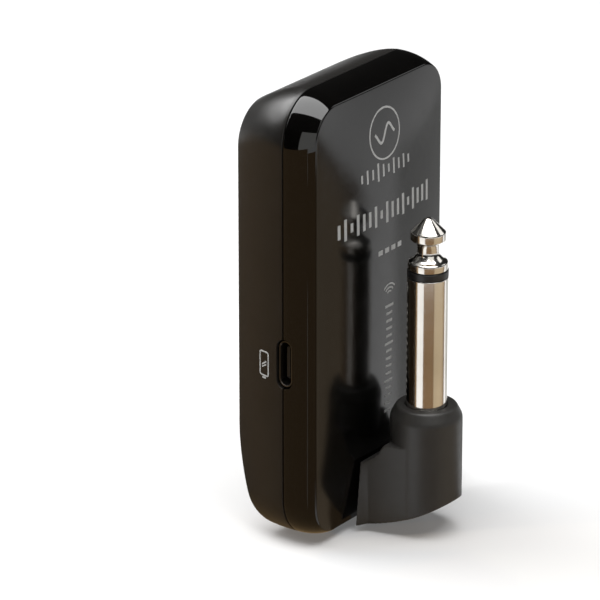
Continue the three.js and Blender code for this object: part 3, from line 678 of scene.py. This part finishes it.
def arm_rings():
    """The arm from its front, inside the pod, to its back, clear of the face."""
    rings = []
    for y in np.linspace(PLUG_Y, ARM_BACK_Y - 0.01, 26):
        low, high = arm_half_widths(y)
        under = UNDER.z + UNDER.radius - math.sqrt(UNDER.radius**2 - (UNDER.y - y) ** 2)
        reach = (ARM_TOP.y - y) / ARM_TOP.radius
        top = ARM_TOP.limit
        if reach < 0.93:
            top = min(top, ARM_TOP.z - ARM_TOP.radius * math.sqrt(1 - reach**2))
        side = [(low + (high - low) * (z + 2) / 19, z) for z in np.linspace(under, top, 12)]
        rings.append([(half, y, z) for half, z in side] + [(-half, y, z) for half, z in reversed(side)])
    return rings


def swivel_housing():
    across, down = SHOULDER_CHAMFER
    profile = rounded_profile([
        (0, 0, 0), (POD_RADIUS, 0, 0), (POD_RADIUS, SHOULDER_Z - down, 0.5),
        (POD_RADIUS - across, SHOULDER_Z, 0.35), (0, SHOULDER_Z, 0),
    ])
    pod = lathe("pod", profile, (0, PLUG_Y, 0), sides=160)
    boolean(pod, loft("arm", arm_rings()), "UNION")
    under = []
    for x in (-12, 12):
        arc = [(UNDER.y - UNDER.radius * math.sin(t),
                UNDER.z + UNDER.radius * (1 - math.cos(t))) for t in np.linspace(-0.1, 0.8, 40)]
        under.append([(x, y, z) for y, z in arc] + [(x, -21, -12), (x, 6.6, -12)])
    boolean(pod, loft("cut_under", under))
    body = voxel_body("swivel_housing_fine", pod, 0.14, 5)
    hole = HOUSING_BORE
    bore = rounded_profile([
        (0, hole.floor, 0), (hole.radius, hole.floor, 0), (hole.radius, hole.lip_z, 0),
        (hole.lip, hole.lip_z, 0), (hole.lip, SHOULDER_Z - 0.12, 0),
        (hole.mouth, SHOULDER_Z + 0.1, 0), (hole.mouth, 23, 0), (0, 23, 0),
    ])
    boolean(body, lathe("cut_bore", bore, (0, PLUG_Y, 0), sides=96))
    boolean(body, rod("cut_seat", SHAFT_SEAT.radius, SHAFT_SEAT.y, 2, (0, 0, PIVOT_Z), "y"))
    shade(body, 40)
    finish_piece(body, "plug_swivel", "arm_matte", "swivel_housing")


def plug_piece(name, corners, slot, replaced, steps=5):
    piece = lathe(name, rounded_profile(corners, steps), (0, PLUG_Y, 0), sides=128)
    finish_piece(piece, "plug_swivel", slot, replaced)


def plug_parts():
    p = SLEEVE
    plug_piece("plug_sleeve_fine", [
        (p.bore, p.root, 0), (p.grip, p.root, 0.1), (p.grip, p.grip_top, 0.1),
        (p.radius, p.grip_top + 0.2, 0.05), (p.radius, p.top, 0.12), (p.bore, p.top, 0.1),
    ], "plug_nickel", "plug_sleeve")
    low = p.top + PLUG_GAP
    p = RING
    plug_piece("plug_ring_fine", [
        (p.bore, low, 0), (p.radius, low, 0.1),
        (p.radius, p.top, 0.1), (p.bore, p.top, 0),
    ], "black_nylon", "plug_insulator_ring")
    low = p.top + PLUG_GAP
    p = TIP
    plug_piece("plug_tip_fine", [
        (0, p.bore_top, 0), (p.bore, p.bore_top, 0), (p.bore, low, 0), (p.collar, low, 0.12),
        (p.collar, p.collar_top, 0.22), (2.45, p.collar_top + 0.35, 0.3),
        (p.neck, p.neck_z, 0.4), (p.neck, p.neck_z + 1.15, 0.5), (1.95, 47.5, 0.3),
        (p.head, p.head_z, 0.14), (p.head, p.cone_z, 0.16),
        (0.72, p.top - 0.2, 0.25), (0.45, p.top, 0.1), (0, p.top, 0),
    ], "plug_nickel", "plug_tip", 6)


swivel_housing()
plug_parts()


# ---- Controls, lights and port ----
def slab(name, size, radius, x_low, x_high, centre):
    """A rounded rectangle (length along z, width along y) pulled along X."""
    z0, y0 = centre
    shape = rounded_rect(*size, radius)
    return loft(name, [[(x, y0 + y, z0 + z) for z, y in shape] for x in (x_low, x_high)])


def knob_profile():
    """Points (z, x) along the knob's middle: rounded ends and grooves with soft walls."""
    half, edge = SWITCH.length / 2, KNOB.edge
    pitch = (SWITCH.length - 2 * KNOB.margin) / KNOB.grooves
    profile = []
    for z in np.linspace(-half, half, KNOB.samples):
        end = max(0.0, abs(z) - (half - edge)) / edge
        x = HALF_WIDTH + SWITCH.proud - edge * (1 - math.sqrt(max(0.0, 1 - end * end)))
        turn = (z + half - KNOB.margin) / pitch
        if 0 <= turn <= KNOB.grooves:
            phase = (turn % 1.0 - 0.575) / 0.33
            x -= KNOB.groove / (1 + math.exp((abs(phase) - 0.78) * 14))
        profile.append((z, x))
    return profile


def switch_knob():
    root = HALF_WIDTH - WALL - 0.25
    profile, steps = knob_profile(), KNOB.samples
    # Rows across the knob: (distance from its middle, drop below the profile).
    sides = [(1.5, None), (1.5, 0.25), (1.47, 0.12), (1.38, 0.03), (1.25, 0.0)]
    rows = [(-y, drop) for y, drop in sides] + [(0.0, 0.0)] + sides[::-1]
    points, faces = [], []
    for y, drop in rows:
        for z, x in profile:
            points.append((root if drop is None else x - drop, SWITCH.y + y, SWITCH.z + z))
    for i in range(len(rows) - 1):
        for k in range(steps - 1):
            a = i * steps + k
            faces.append((a, a + 1, a + steps + 1, a + steps))
    last = (len(rows) - 1) * steps
    faces.append(tuple(i * steps for i in range(len(rows))))
    faces.append(tuple(i * steps + steps - 1 for i in reversed(range(len(rows)))))
    faces.append((*range(steps - 1, -1, -1), *range(last, last + steps)))
    knob = new_mesh("switch_knob_fine", points, faces, angle=50)
    centre, length = (SWITCH.z, SWITCH.y), SWITCH.length
    for part in (slab("neck", (length - 0.8, NECK_WIDTH), 0.3, root - 0.6, root + 0.1, centre),
                 slab("flange", (length + 2.6, FLANGE_WIDTH), 0.4, root - 1, root - 0.5, centre),
                 slab("stem", (3.2, 1.0), 0.2, root - 2.9, root - 0.9, centre)):
        boolean(knob, part, "UNION")
    shade(knob, 40)
    finish_piece(knob, "power_switch", "control_black", "switch_knob")


def button_cap():
    """A cap with a rounded outer edge and a slightly crowned face."""
    edge, crowned = BUTTON.edge, BUTTON.crown
    root, brim = HALF_WIDTH - WALL - 0.7, HALF_WIDTH + BUTTON.proud - crowned
    z0, y0 = centre = (BUTTON.z, BUTTON.y)
    length = BUTTON.length
    shape = np.array(rounded_rect(length, BUTTON.width, 0.5, 8))
    size = np.abs(shape).max(0)
    levels = [(root, 1.0, 0.0)]
    for turn in np.linspace(0, math.pi / 2, 7):
        levels.append((brim - edge + edge * math.sin(turn), 1.0, edge * (1 - math.cos(turn))))
    levels += [(brim + crowned * (1 - share**2), share, edge) for share in (0.75, 0.45, 0.15)]
    rings = []
    for x, share, inset in levels:
        scale = (size - inset) / size * share
        rings.append([(x, y0 + y * scale[1], z0 + z * scale[0]) for z, y in shape])
    cap = loft("button_cap_fine", rings)
    for part in (slab("neck", (length - 0.8, NECK_WIDTH), 0.3, root - 0.2, root + 0.1, centre),
                 slab("flange", (length + 1.4, FLANGE_WIDTH), 0.4, root - 0.5, root - 0.1, centre)):
        boolean(cap, part, "UNION")
    shade(cap, 40)
    finish_piece(cap, "select_button", "control_black", "button_cap")


def led_lenses():
    tip = HALF_WIDTH - band_inset(LED.y) + LENS.proud
    root, dome = tip - LENS.length, LENS.dome
    for number in (1, 2, 3, 4):
        profile = [(0, root), (LED.radius, root)]
        for i in range(9):
            a = i / 8 * math.pi / 2
            profile.append((LED.radius * math.cos(a) if i < 8 else 0.0, tip - dome + dome * math.sin(a)))
        lens = lathe(f"led_lens_{number}_fine", profile, (0, LED.y, led_z(number)), "x", 48)
        finish_piece(lens, "case", "lens_clear" if number == 1 else "lens_green", f"led_lens_{number}")


def usb_port():
    mouth = -HALF_WIDTH + USB.recess
    rear = mouth + USB.depth
    z0, y0 = USB.z, USB.y
    outer = slot_outline(USB.length, USB.height, 20)
    inner = slot_outline(USB.length - 2 * USB.wall, USB.height - 2 * USB.wall, 20)

    def ring(outline, x, grow=0.0):
        return [(x, y0 + y * (1 + grow / 1.2), z0 + z * (1 + grow / 3.8)) for z, y in outline]

    port = loft("usb_port_fine", [
        ring(outer, rear), ring(outer, mouth + 0.08), ring(outer, mouth, -0.08), ring(inner, mouth, 0.08),
        ring(inner, mouth + 0.1), ring(inner, rear - 0.5),
    ])
    shape = rounded_rect(USB_TONGUE.length, USB_TONGUE.thick, 0.12)
    ends = ((rear - 0.3, 1.0), (mouth + 0.95, 1.0), (mouth + 0.8, 0.9))
    rings = [[(x, y0 + y * share, z0 + z * share) for z, y in shape] for x, share in ends]
    tongue = loft("usb_tongue", rings)
    finish_piece(tongue, "case", "black_nylon")
    contacts = []
    half = USB_TONGUE.contact_half
    for i in range(USB_TONGUE.contacts):
        z = z0 + (i - (USB_TONGUE.contacts - 1) / 2) * USB_TONGUE.pitch
        for side in (-1, 1):
            shape = [(z - half, 0.34), (z + half, 0.34), (z + half, 0.28), (z - half, 0.28)]
            rings = [[(x, y0 + side * y, z) for z, y in shape] for x in (mouth + 1.05, mouth + 3.0)]
            contacts.append(loft(f"contact_{i}_{side}", rings))
    finish_piece(joined("usb_contacts", contacts), "case", "contact_brass")
    finish_piece(port, "case", "usb_steel", "usb_port")


def cross_recess(place, seat):
    """Two tapered bars that cut a screw's cross, wider toward the back."""
    x, _, z = place
    for long, wide in ((0.95, 0.17), (0.17, 0.95)):
        rings = []
        for y, share in ((seat + 0.35, 0.7), (seat + 2, 1.0)):
            rings.append([(x + a * long * share, y, z + b * wide * share)
                          for a, b in ((-1, -1), (1, -1), (1, 1), (-1, 1))])
        yield loft("cross", rings)


def case_screws():
    seat = SCREW.seat + 0.12
    profile = rounded_profile([
        (0, 2.6, 0), (0.6, 2.6, 0), (0.82, 3.1, 0.1), (0.82, seat, 0), (1.65, seat, 0),
        (1.65, seat + 0.55, 0.3), (1.2, seat + 1.05, 0.4), (0, seat + 1.2, 0),
    ])
    for name, side in (("left", -1), ("right", 1)):
        place = (side * SCREW.x, 0, SCREW.z)
        screw = lathe(f"case_screw_{name}_fine", profile, place, "y", 48)
        for bar in cross_recess(place, seat):
            boolean(screw, bar)
        shade(screw, 40)
        finish_piece(screw, "case", "steel_parts", f"case_screw_{name}")


switch_knob()
button_cap()
led_lenses()
usb_port()
case_screws()


# ---- Print: thin ink strips that lie on a surface ----
def on_face(u, v):
    """Front face: u across, v up; a point and its outward direction."""
    u, v = np.asarray(u, float), np.asarray(v, float)
    h = 0.01
    gx = (crown(u + h, v) - crown(u - h, v)) / (2 * h)
    gz = (crown(u, v + h) - crown(u, v - h)) / (2 * h)
    normal = np.stack([-gx, -np.ones_like(gx), -gz], -1)
    normal /= np.linalg.norm(normal, axis=-1, keepdims=True)
    return np.stack([u, -crown(u, v), v], -1), normal


def on_side(sign):
    def place(u, v):
        """Side wall: u is the depth, v up."""
        u, v = np.asarray(u, float), np.asarray(v, float)
        x = sign * (HALF_WIDTH - SIDE_TAPER * shell_curve(u))
        slope = SIDE_TAPER * SHELL_BULGE * shell_curve(u) / (u - PARTING_Y)
        out = np.stack([np.full_like(u, sign), slope, np.zeros_like(u)], -1)
        return np.stack([x, u, v], -1), out / np.linalg.norm(out, axis=-1, keepdims=True)
    return place


INK_HEIGHT = 0.02


def strip(path, width, place, closed):
    """Points and faces of an ink line of that width along a (u, v) path."""
    p = np.array(path, float)
    if closed:
        before, after = np.roll(p, 1, 0), np.roll(p, -1, 0)
    else:
        before, after = np.vstack([2 * p[0] - p[1], p[:-1]]), np.vstack([p[1:], 2 * p[-1] - p[-2]])
    a, b = p - before, after - p
    a /= np.linalg.norm(a, axis=1, keepdims=True)
    b /= np.linalg.norm(b, axis=1, keepdims=True)
    tangent = a + b
    tangent /= np.linalg.norm(tangent, axis=1, keepdims=True)
    normal = np.stack([-tangent[:, 1], tangent[:, 0]], 1)
    mitre = np.clip((normal * np.stack([-a[:, 1], a[:, 0]], 1)).sum(1), 0.35, 1)
    offset = normal * (width / 2 / mitre)[:, None]
    points = []
    for side in (p + offset, p - offset):
        surface, out = place(side[:, 0], side[:, 1])
        points.append(surface + out * INK_HEIGHT)
        points.append(surface - out * INK_HEIGHT)
    n = len(p)
    left_top, left_low, right_top, right_low = 0, n, 2 * n, 3 * n
    faces = []
    for k in range(n if closed else n - 1):
        m = (k + 1) % n
        faces.append((left_top + k, left_top + m, right_top + m, right_top + k))
        faces.append((right_low + k, right_low + m, left_low + m, left_low + k))
        faces.append((left_low + k, left_low + m, left_top + m, left_top + k))
        faces.append((right_top + k, right_top + m, right_low + m, right_low + k))
    if not closed:
        faces.append((left_top, right_top, right_low, left_low))
        faces.append((right_top + n - 1, left_top + n - 1, left_low + n - 1, right_low + n - 1))
    return np.concatenate(points), faces


def line(start, end, pieces=None):
    start, end = np.array(start, float), np.array(end, float)
    count = pieces or max(2, int(np.linalg.norm(end - start) / 0.6) + 2)
    return [tuple(start + (end - start) * t) for t in np.linspace(0, 1, count)]


def circle(centre, radius, start=0, end=360, count=48):
    turn = abs(end - start) >= 360
    angles = np.radians(np.linspace(start, end, count, endpoint=not turn))
    return [(centre[0] + radius * math.cos(t), centre[1] + radius * math.sin(t)) for t in angles]


def box_path(low, high, radius):
    """A closed rounded box in (u, v)."""
    (u0, v0), (u1, v1) = low, high
    path = []
    for cu, cv, start in ((u1 - radius, v0 + radius, -90), (u1 - radius, v1 - radius, 0),
                          (u0 + radius, v1 - radius, 90), (u0 + radius, v0 + radius, 180)):
        path += circle((cu, cv), radius, start, start + 90, 6)
    return path


def ink(name, strokes, place):
    """One printed mark made of strokes: (path, width, closed)."""
    points, faces = [], []
    for path, width, closed in strokes:
        p, f = strip(path, width, place, closed)
        base = sum(len(x) for x in points)
        points.append(p)
        faces += [tuple(base + i for i in face) for face in f]
    mark = new_mesh(name, np.concatenate(points), faces, angle=30)
    mark.data.materials.append(PRINT)
    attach(mark, "case")


# Where the marks sit: (across, up) on the face, and (depth, up) on the side walls.
EMBLEM, SMALL_BARS_Z, SIGNAL_Z, DASHES_Z = (0.1, 63.3), 57.6, 50.7, 44.5
SCALE_X, SCALE_Z, WAVES_Z = 0.6, 35.2, 36.9
NUMBER_DEPTH, CONTROL_DEPTH = 7.2, 9.3
CELL = ((8.6, 29.0), (10.0, 31.4))
LEGEND = ((11.6, 48.6), (14.2, 58.6))
CHARGE = ((8.1, 27.3), (9.95, 31.2))


def upright(u, middle, height, width):
    return (line((u, middle - height / 2), (u, middle + height / 2)), width, False)


def face_print():
    wave = [(EMBLEM[0] + u, EMBLEM[1] + 1.5 * math.sin(u * 1.35) * math.cos(u * 0.42))
            for u in np.linspace(-2.6, 2.6, 50)]
    ink("print_emblem", [(circle(EMBLEM, 4.0), 0.29, True), (wave, 0.43, False)], on_face)
    heights = [1.3, 2.2, 1.6, 2.9, 2.0, 1.3, 2.5, 1.7, 2.2, 1.3]
    bars = [upright(-6.3 + i * 1.4, SMALL_BARS_Z, height, 0.42) for i, height in enumerate(heights)]
    ink("print_small_bars", bars, on_face)
    signal = []
    for i, u in enumerate(np.linspace(-12.0, 12.0, 17)):
        height = 3.5 * (0.35 + 0.65 * abs(math.sin(i * 1.27 + 0.5)))
        signal.append(upright(u, SIGNAL_Z, height, 0.62))
    ink("print_signal_row", signal, on_face)
    starts = [-2.4 + i * 1.75 for i in range(4)]
    ink("print_dashes", [(line((u, DASHES_Z), (u + 1.1, DASHES_Z)), 0.8, False) for u in starts], on_face)
    waves = [(circle((SCALE_X, WAVES_Z), r, 40, 140, 14), 0.26, False) for r in (0.7, 1.3, 1.9)]
    ticks = []
    for i in range(15):
        v = SCALE_Z - i * 1.25
        half = 1.15 if i % 5 == 0 else 0.8
        ticks.append((line((SCALE_X - half, v), (SCALE_X + half, v)), 0.42, False))
    ink("print_scale", waves + ticks, on_face)


DIGITS = {
    1: [[(-0.35, 0.55), (0.1, 1.0), (0.1, -1.0)]],
    2: [[(-0.55, 0.5), (-0.4, 0.85), (0.0, 1.0), (0.42, 0.82), (0.52, 0.42), (0.25, -0.05),
         (-0.55, -1.0), (0.58, -1.0)]],
    3: [[(-0.5, 0.75), (-0.15, 1.0), (0.3, 0.95), (0.52, 0.58), (0.3, 0.15), (-0.1, 0.05), (0.32, -0.05),
         (0.55, -0.48), (0.32, -0.92), (-0.12, -1.0), (-0.52, -0.78)]],
    4: [[(0.3, -1.0), (0.3, 1.0), (-0.6, -0.4), (0.62, -0.4)]],
}


def turned_digit(number, centre, size):
    """A numeral that reads with the case on its side, as on the unit."""
    strokes = []
    for path in DIGITS[number]:
        placed = [(centre[0] - size * b, centre[1] + size * a) for a, b in path]
        strokes.append((placed, 0.24, False))
    return strokes


def nub(cell, drop, inset, width):
    """The short bar under a battery outline that stands for its terminal."""
    (left, low), (right, _) = cell
    return (line((left + inset, low - drop), (right - inset, low - drop), 3), width, False)


def chevron(corner_a, point, corner_b):
    return [(line(corner_a, point, 4), 0.26, False), (line(point, corner_b, 4), 0.26, False)]


def right_print():
    side = on_side(1)
    digits = []
    for number in (1, 2, 3, 4):
        digits += turned_digit(number, (NUMBER_DEPTH, led_z(number) - 0.3), 0.85)
    ink("print_numbers", digits, side)
    ink("print_cell", [(box_path(*CELL, 0.3), 0.2, True), nub(CELL, 0.3, 0.4, 0.24)], side)
    u = CONTROL_DEPTH
    dots = [(circle((u, v), 0.22, 0, 360, 16), 0.42, True) for v in (53.4, 45.7)]
    ink("print_dots", dots, side)
    on_mark = (line((u - 0.9, 43.4), (u + 0.9, 43.4)), 0.26, False)
    off_mark = (circle((u, 56.5), 0.85, 0, 360, 28), 0.26, True)
    ink("print_on_off", [on_mark, off_mark], side)
    ink("print_select", chevron((8.6, 37.9), (9.9, 37.2), (8.6, 36.5)), side)
    legend = [(box_path(*LEGEND, 0.5), 0.24, True)]
    legend += [(line((12.3, v), (13.5, v), 4), 0.3, False) for v in np.arange(50.2, 56.0, 0.95)]
    ink("print_legend", legend + chevron((12.3, 56.4), (12.9, 57.5), (13.5, 56.4)), side)


def left_print():
    strokes = [(box_path(*CHARGE, 0.35), 0.24, True), nub(CHARGE, 0.35, 0.55, 0.3)]
    strokes += [(line((8.55, 29.7), (9.5, 29.0), 4), 0.24, False),
                (line((8.55, 29.2), (9.5, 28.6), 4), 0.2, False)]
    ink("print_charge", strokes, on_side(-1))


face_print()
right_print()
left_print()


# ---- Carried-over pieces take their slot's material ----
SLOT_OF = {entry["node"]: entry["material_slot"] for entry in frame["record"]["subparts"]}
for name, node in frame["nodes"].items():
    slot = SLOT_OF[name]
    node.data.materials.clear()
    node.data.materials.append(MATERIALS[slot])


# ---- Studio ----
def stage_sheet(name, corners, material):
    """A flat sheet of the studio, from its corners in frame millimetres."""
    sheet = mesh_object(name, np.array(corners) * MM, [range(len(corners))])
    sheet.data.materials.append(material)
    return sheet


def floor_material():
    n = Nodes("floor_pale")
    n.plug("Base Color", n.ramp(n.noise(6, 2.0), [(0.3, (0.63, 0.63, 0.63)), (0.7, (0.67, 0.67, 0.67))]))
    n.plug("Roughness", n.range(n.noise(30, 2.0), 0.3, 0.4))
    n.set(Emission_Color=(1, 1, 1, 1), Emission_Strength=FLOOR_GLOW)
    return n.material


def glow_material(name, color):
    n = Nodes(name)
    dim, full = tuple(0.85 * c for c in color), color
    n.plug("Emission Color", n.ramp(n.noise(12, 2.0), [(0.3, dim), (0.7, full)]))
    n.set(Base_Color=(0, 0, 0, 1), Emission_Strength=1.0, Specular_IOR_Level=0.0)
    return n.material


def card(name, corners, color):
    """A studio card that only shows as a reflection."""
    sheet = stage_sheet(name, corners, glow_material(name, color))
    sheet.visible_camera = False
    sheet.visible_diffuse = False
    sheet.visible_shadow = False
    sheet.visible_transmission = False


def toward(start, azimuth, distance):
    """The floor point that far from start. Azimuth 0 is straight out of the front face, +90 is +X."""
    a = math.radians(azimuth)
    return (start[0] + distance * math.sin(a), start[1] - distance * math.cos(a))


def area_light(name, away, distance, size, radiance):
    """A softbox that faces the part from the direction away. Its second size leans along Y."""
    data = bpy.data.lights.new(name, "AREA")
    data.shape = "RECTANGLE"
    data.size, data.size_y = size
    data.energy = radiance * math.pi * size[0] * size[1]
    light = bpy.data.objects.new(name, data)
    bpy.context.scene.collection.objects.link(light)
    back = Vector(away).normalized()
    along = (Vector((0, 1, 0)) - back * back.y).normalized()
    light.matrix_world = Matrix.LocRotScale(
        back * distance, Matrix((along.cross(back), along, back)).transposed().to_quaternion(), (1, 1, 1))


FLOOR_HALF, FLOOR_Z = 3000.0, -0.1
FLOOR_GLOW = 0.13
signs = ((-1, -1), (1, -1), (1, 1), (-1, 1))
stage_sheet("floor", [(x * FLOOR_HALF, y * FLOOR_HALF, FLOOR_Z) for x, y in signs], floor_material())

world = bpy.data.worlds.new("studio")
bpy.context.scene.world = world
world.use_nodes = True
background = world.node_tree.nodes["Background"]
background.inputs["Color"].default_value = (1, 0.99, 0.97, 1)
background.inputs["Strength"].default_value = 0.02

area_light("key_softbox", (-0.05, 0.13, 1), 0.9, (0.7, 1.6), 5.6)
area_light("back_softbox", (-0.1, 0.8, 0.6), 1.0, (0.8, 0.5), 4.0)
area_light("right_softbox", (0.75, -0.45, 0.6), 1.0, (0.4, 0.4), 1.2)

# Brown and grey cards on the floor stand for the dark parts of the studio. They give the gloss its depth.
CARD_Z = 0.05
DARK_REACH, WARM_REACH, PLUG_REACH = 190.0, 212.0, 185.0
EDGE_START, DARK_START, LEFT_START = (-5.6, -1.4), (-11.0, -1.4), (-17.0, -0.9)
RIGHT_START = (13.0, -4.0)
PLUG_START = (0.0, PLUG_Y + OFFSET_Y)
BREAK = toward(PLUG_START, -20, 10.7)
CARDS = (
    ("card_dark", (0.15, 0.1, 0.055),
     [EDGE_START, toward(EDGE_START, 48.5, DARK_REACH), toward(DARK_START, 44.5, WARM_REACH), DARK_START]),
    ("card_warm", (0.52, 0.4, 0.27),
     [DARK_START, toward(DARK_START, 44.5, WARM_REACH), toward(LEFT_START, 36, WARM_REACH), LEFT_START]),
    ("card_tan", (0.6, 0.48, 0.32),
     [BREAK, toward(LEFT_START, 36, PLUG_REACH), toward(PLUG_START, 0, PLUG_REACH),
      toward(PLUG_START, -20, PLUG_REACH)]),
    ("card_brown", (0.27, 0.17, 0.09),
     [BREAK, toward(PLUG_START, -20, PLUG_REACH), toward(PLUG_START, -50, PLUG_REACH),
      toward(PLUG_START, -78, PLUG_REACH), toward(PLUG_START, -78, 18)]),
    ("card_right", (0.62, 0.62, 0.61),
     [RIGHT_START, toward(RIGHT_START, 57, WARM_REACH), toward(RIGHT_START, 90, WARM_REACH)]),
    ("card_behind", (0.2, 0.15, 0.1), [(-27, 30), (-27, 220), (60, 220), (40, 17), (-10, 17)]),
    ("card_below", (0.3, 0.2, 0.1), [(-22, -1.9), (-22, 30), (-10, 30), (-10, -1.9)]),
)
for card_name, card_color, outline in CARDS:
    card(card_name, [(x, y, CARD_Z) for x, y in outline], card_color)

# Upright cards beside the left wall shape the reflections along the band: (x, y range, z range).
FLAGS = (
    ("card_left", (0.34, 0.22, 0.11), -22.0, (-0.9, 120.0), (0.0, 64.0)),
    ("card_edge", (0.34, 0.22, 0.11), -19.5, (-2.4, -0.1), (0.0, 64.0)),
    ("card_corner", (0.003, 0.003, 0.003), -27.0, (2.0, 32.0), (62.0, 72.0)),
    ("card_glint", (1.2, 1.2, 1.15), -27.0, (-7.0, 2.0), (62.0, 72.0)),
)
for card_name, card_color, x, (front, rear), (low_z, high_z) in FLAGS:
    corners = [(x, front, low_z), (x, rear, low_z), (x, rear, high_z), (x, front, high_z)]
    card(card_name, corners, card_color)

# A bright panel above the camera's right gives the plug's collar and the pod's chamfer their highlights.
PANEL_COLOR, PANEL_DISTANCE, PANEL_CENTRE = (1.0, 1.0, 0.97), 300.0, (0.0, PLUG_Y + OFFSET_Y, 40.0)
panel = []
for azimuth, elevation in ((-60, 22), (5, 22), (5, 60), (-60, 60)):
    flat, tilt = math.radians(azimuth), math.radians(elevation)
    step = (math.sin(flat) * math.cos(tilt), -math.cos(flat) * math.cos(tilt), math.sin(tilt))
    panel.append([c + PANEL_DISTANCE * d for c, d in zip(PANEL_CENTRE, step)])
card("card_panel", panel, PANEL_COLOR)

# ---- Camera ----
AZIMUTH, ELEVATION = math.radians(-55.06), math.radians(21.1)
DISTANCE = 660.0
TARGET = (-9.85, 8.0, 37.28)
away = Vector((math.sin(AZIMUTH) * math.cos(ELEVATION), -math.cos(AZIMUTH) * math.cos(ELEVATION),
               math.sin(ELEVATION)))
camera_data = bpy.data.cameras.new("camera")
camera_data.lens = 258.0
camera_data.sensor_width = 36.0
camera_data.clip_start = 0.01
camera = bpy.data.objects.new("camera", camera_data)
bpy.context.scene.collection.objects.link(camera)
camera.location = Vector(to_frame([TARGET])[0]) + away * DISTANCE * MM
camera.rotation_euler = (-away).to_track_quat("-Z", "Y").to_euler()
bpy.context.scene.camera = camera
bpy.context.scene.view_settings.view_transform = "Standard"
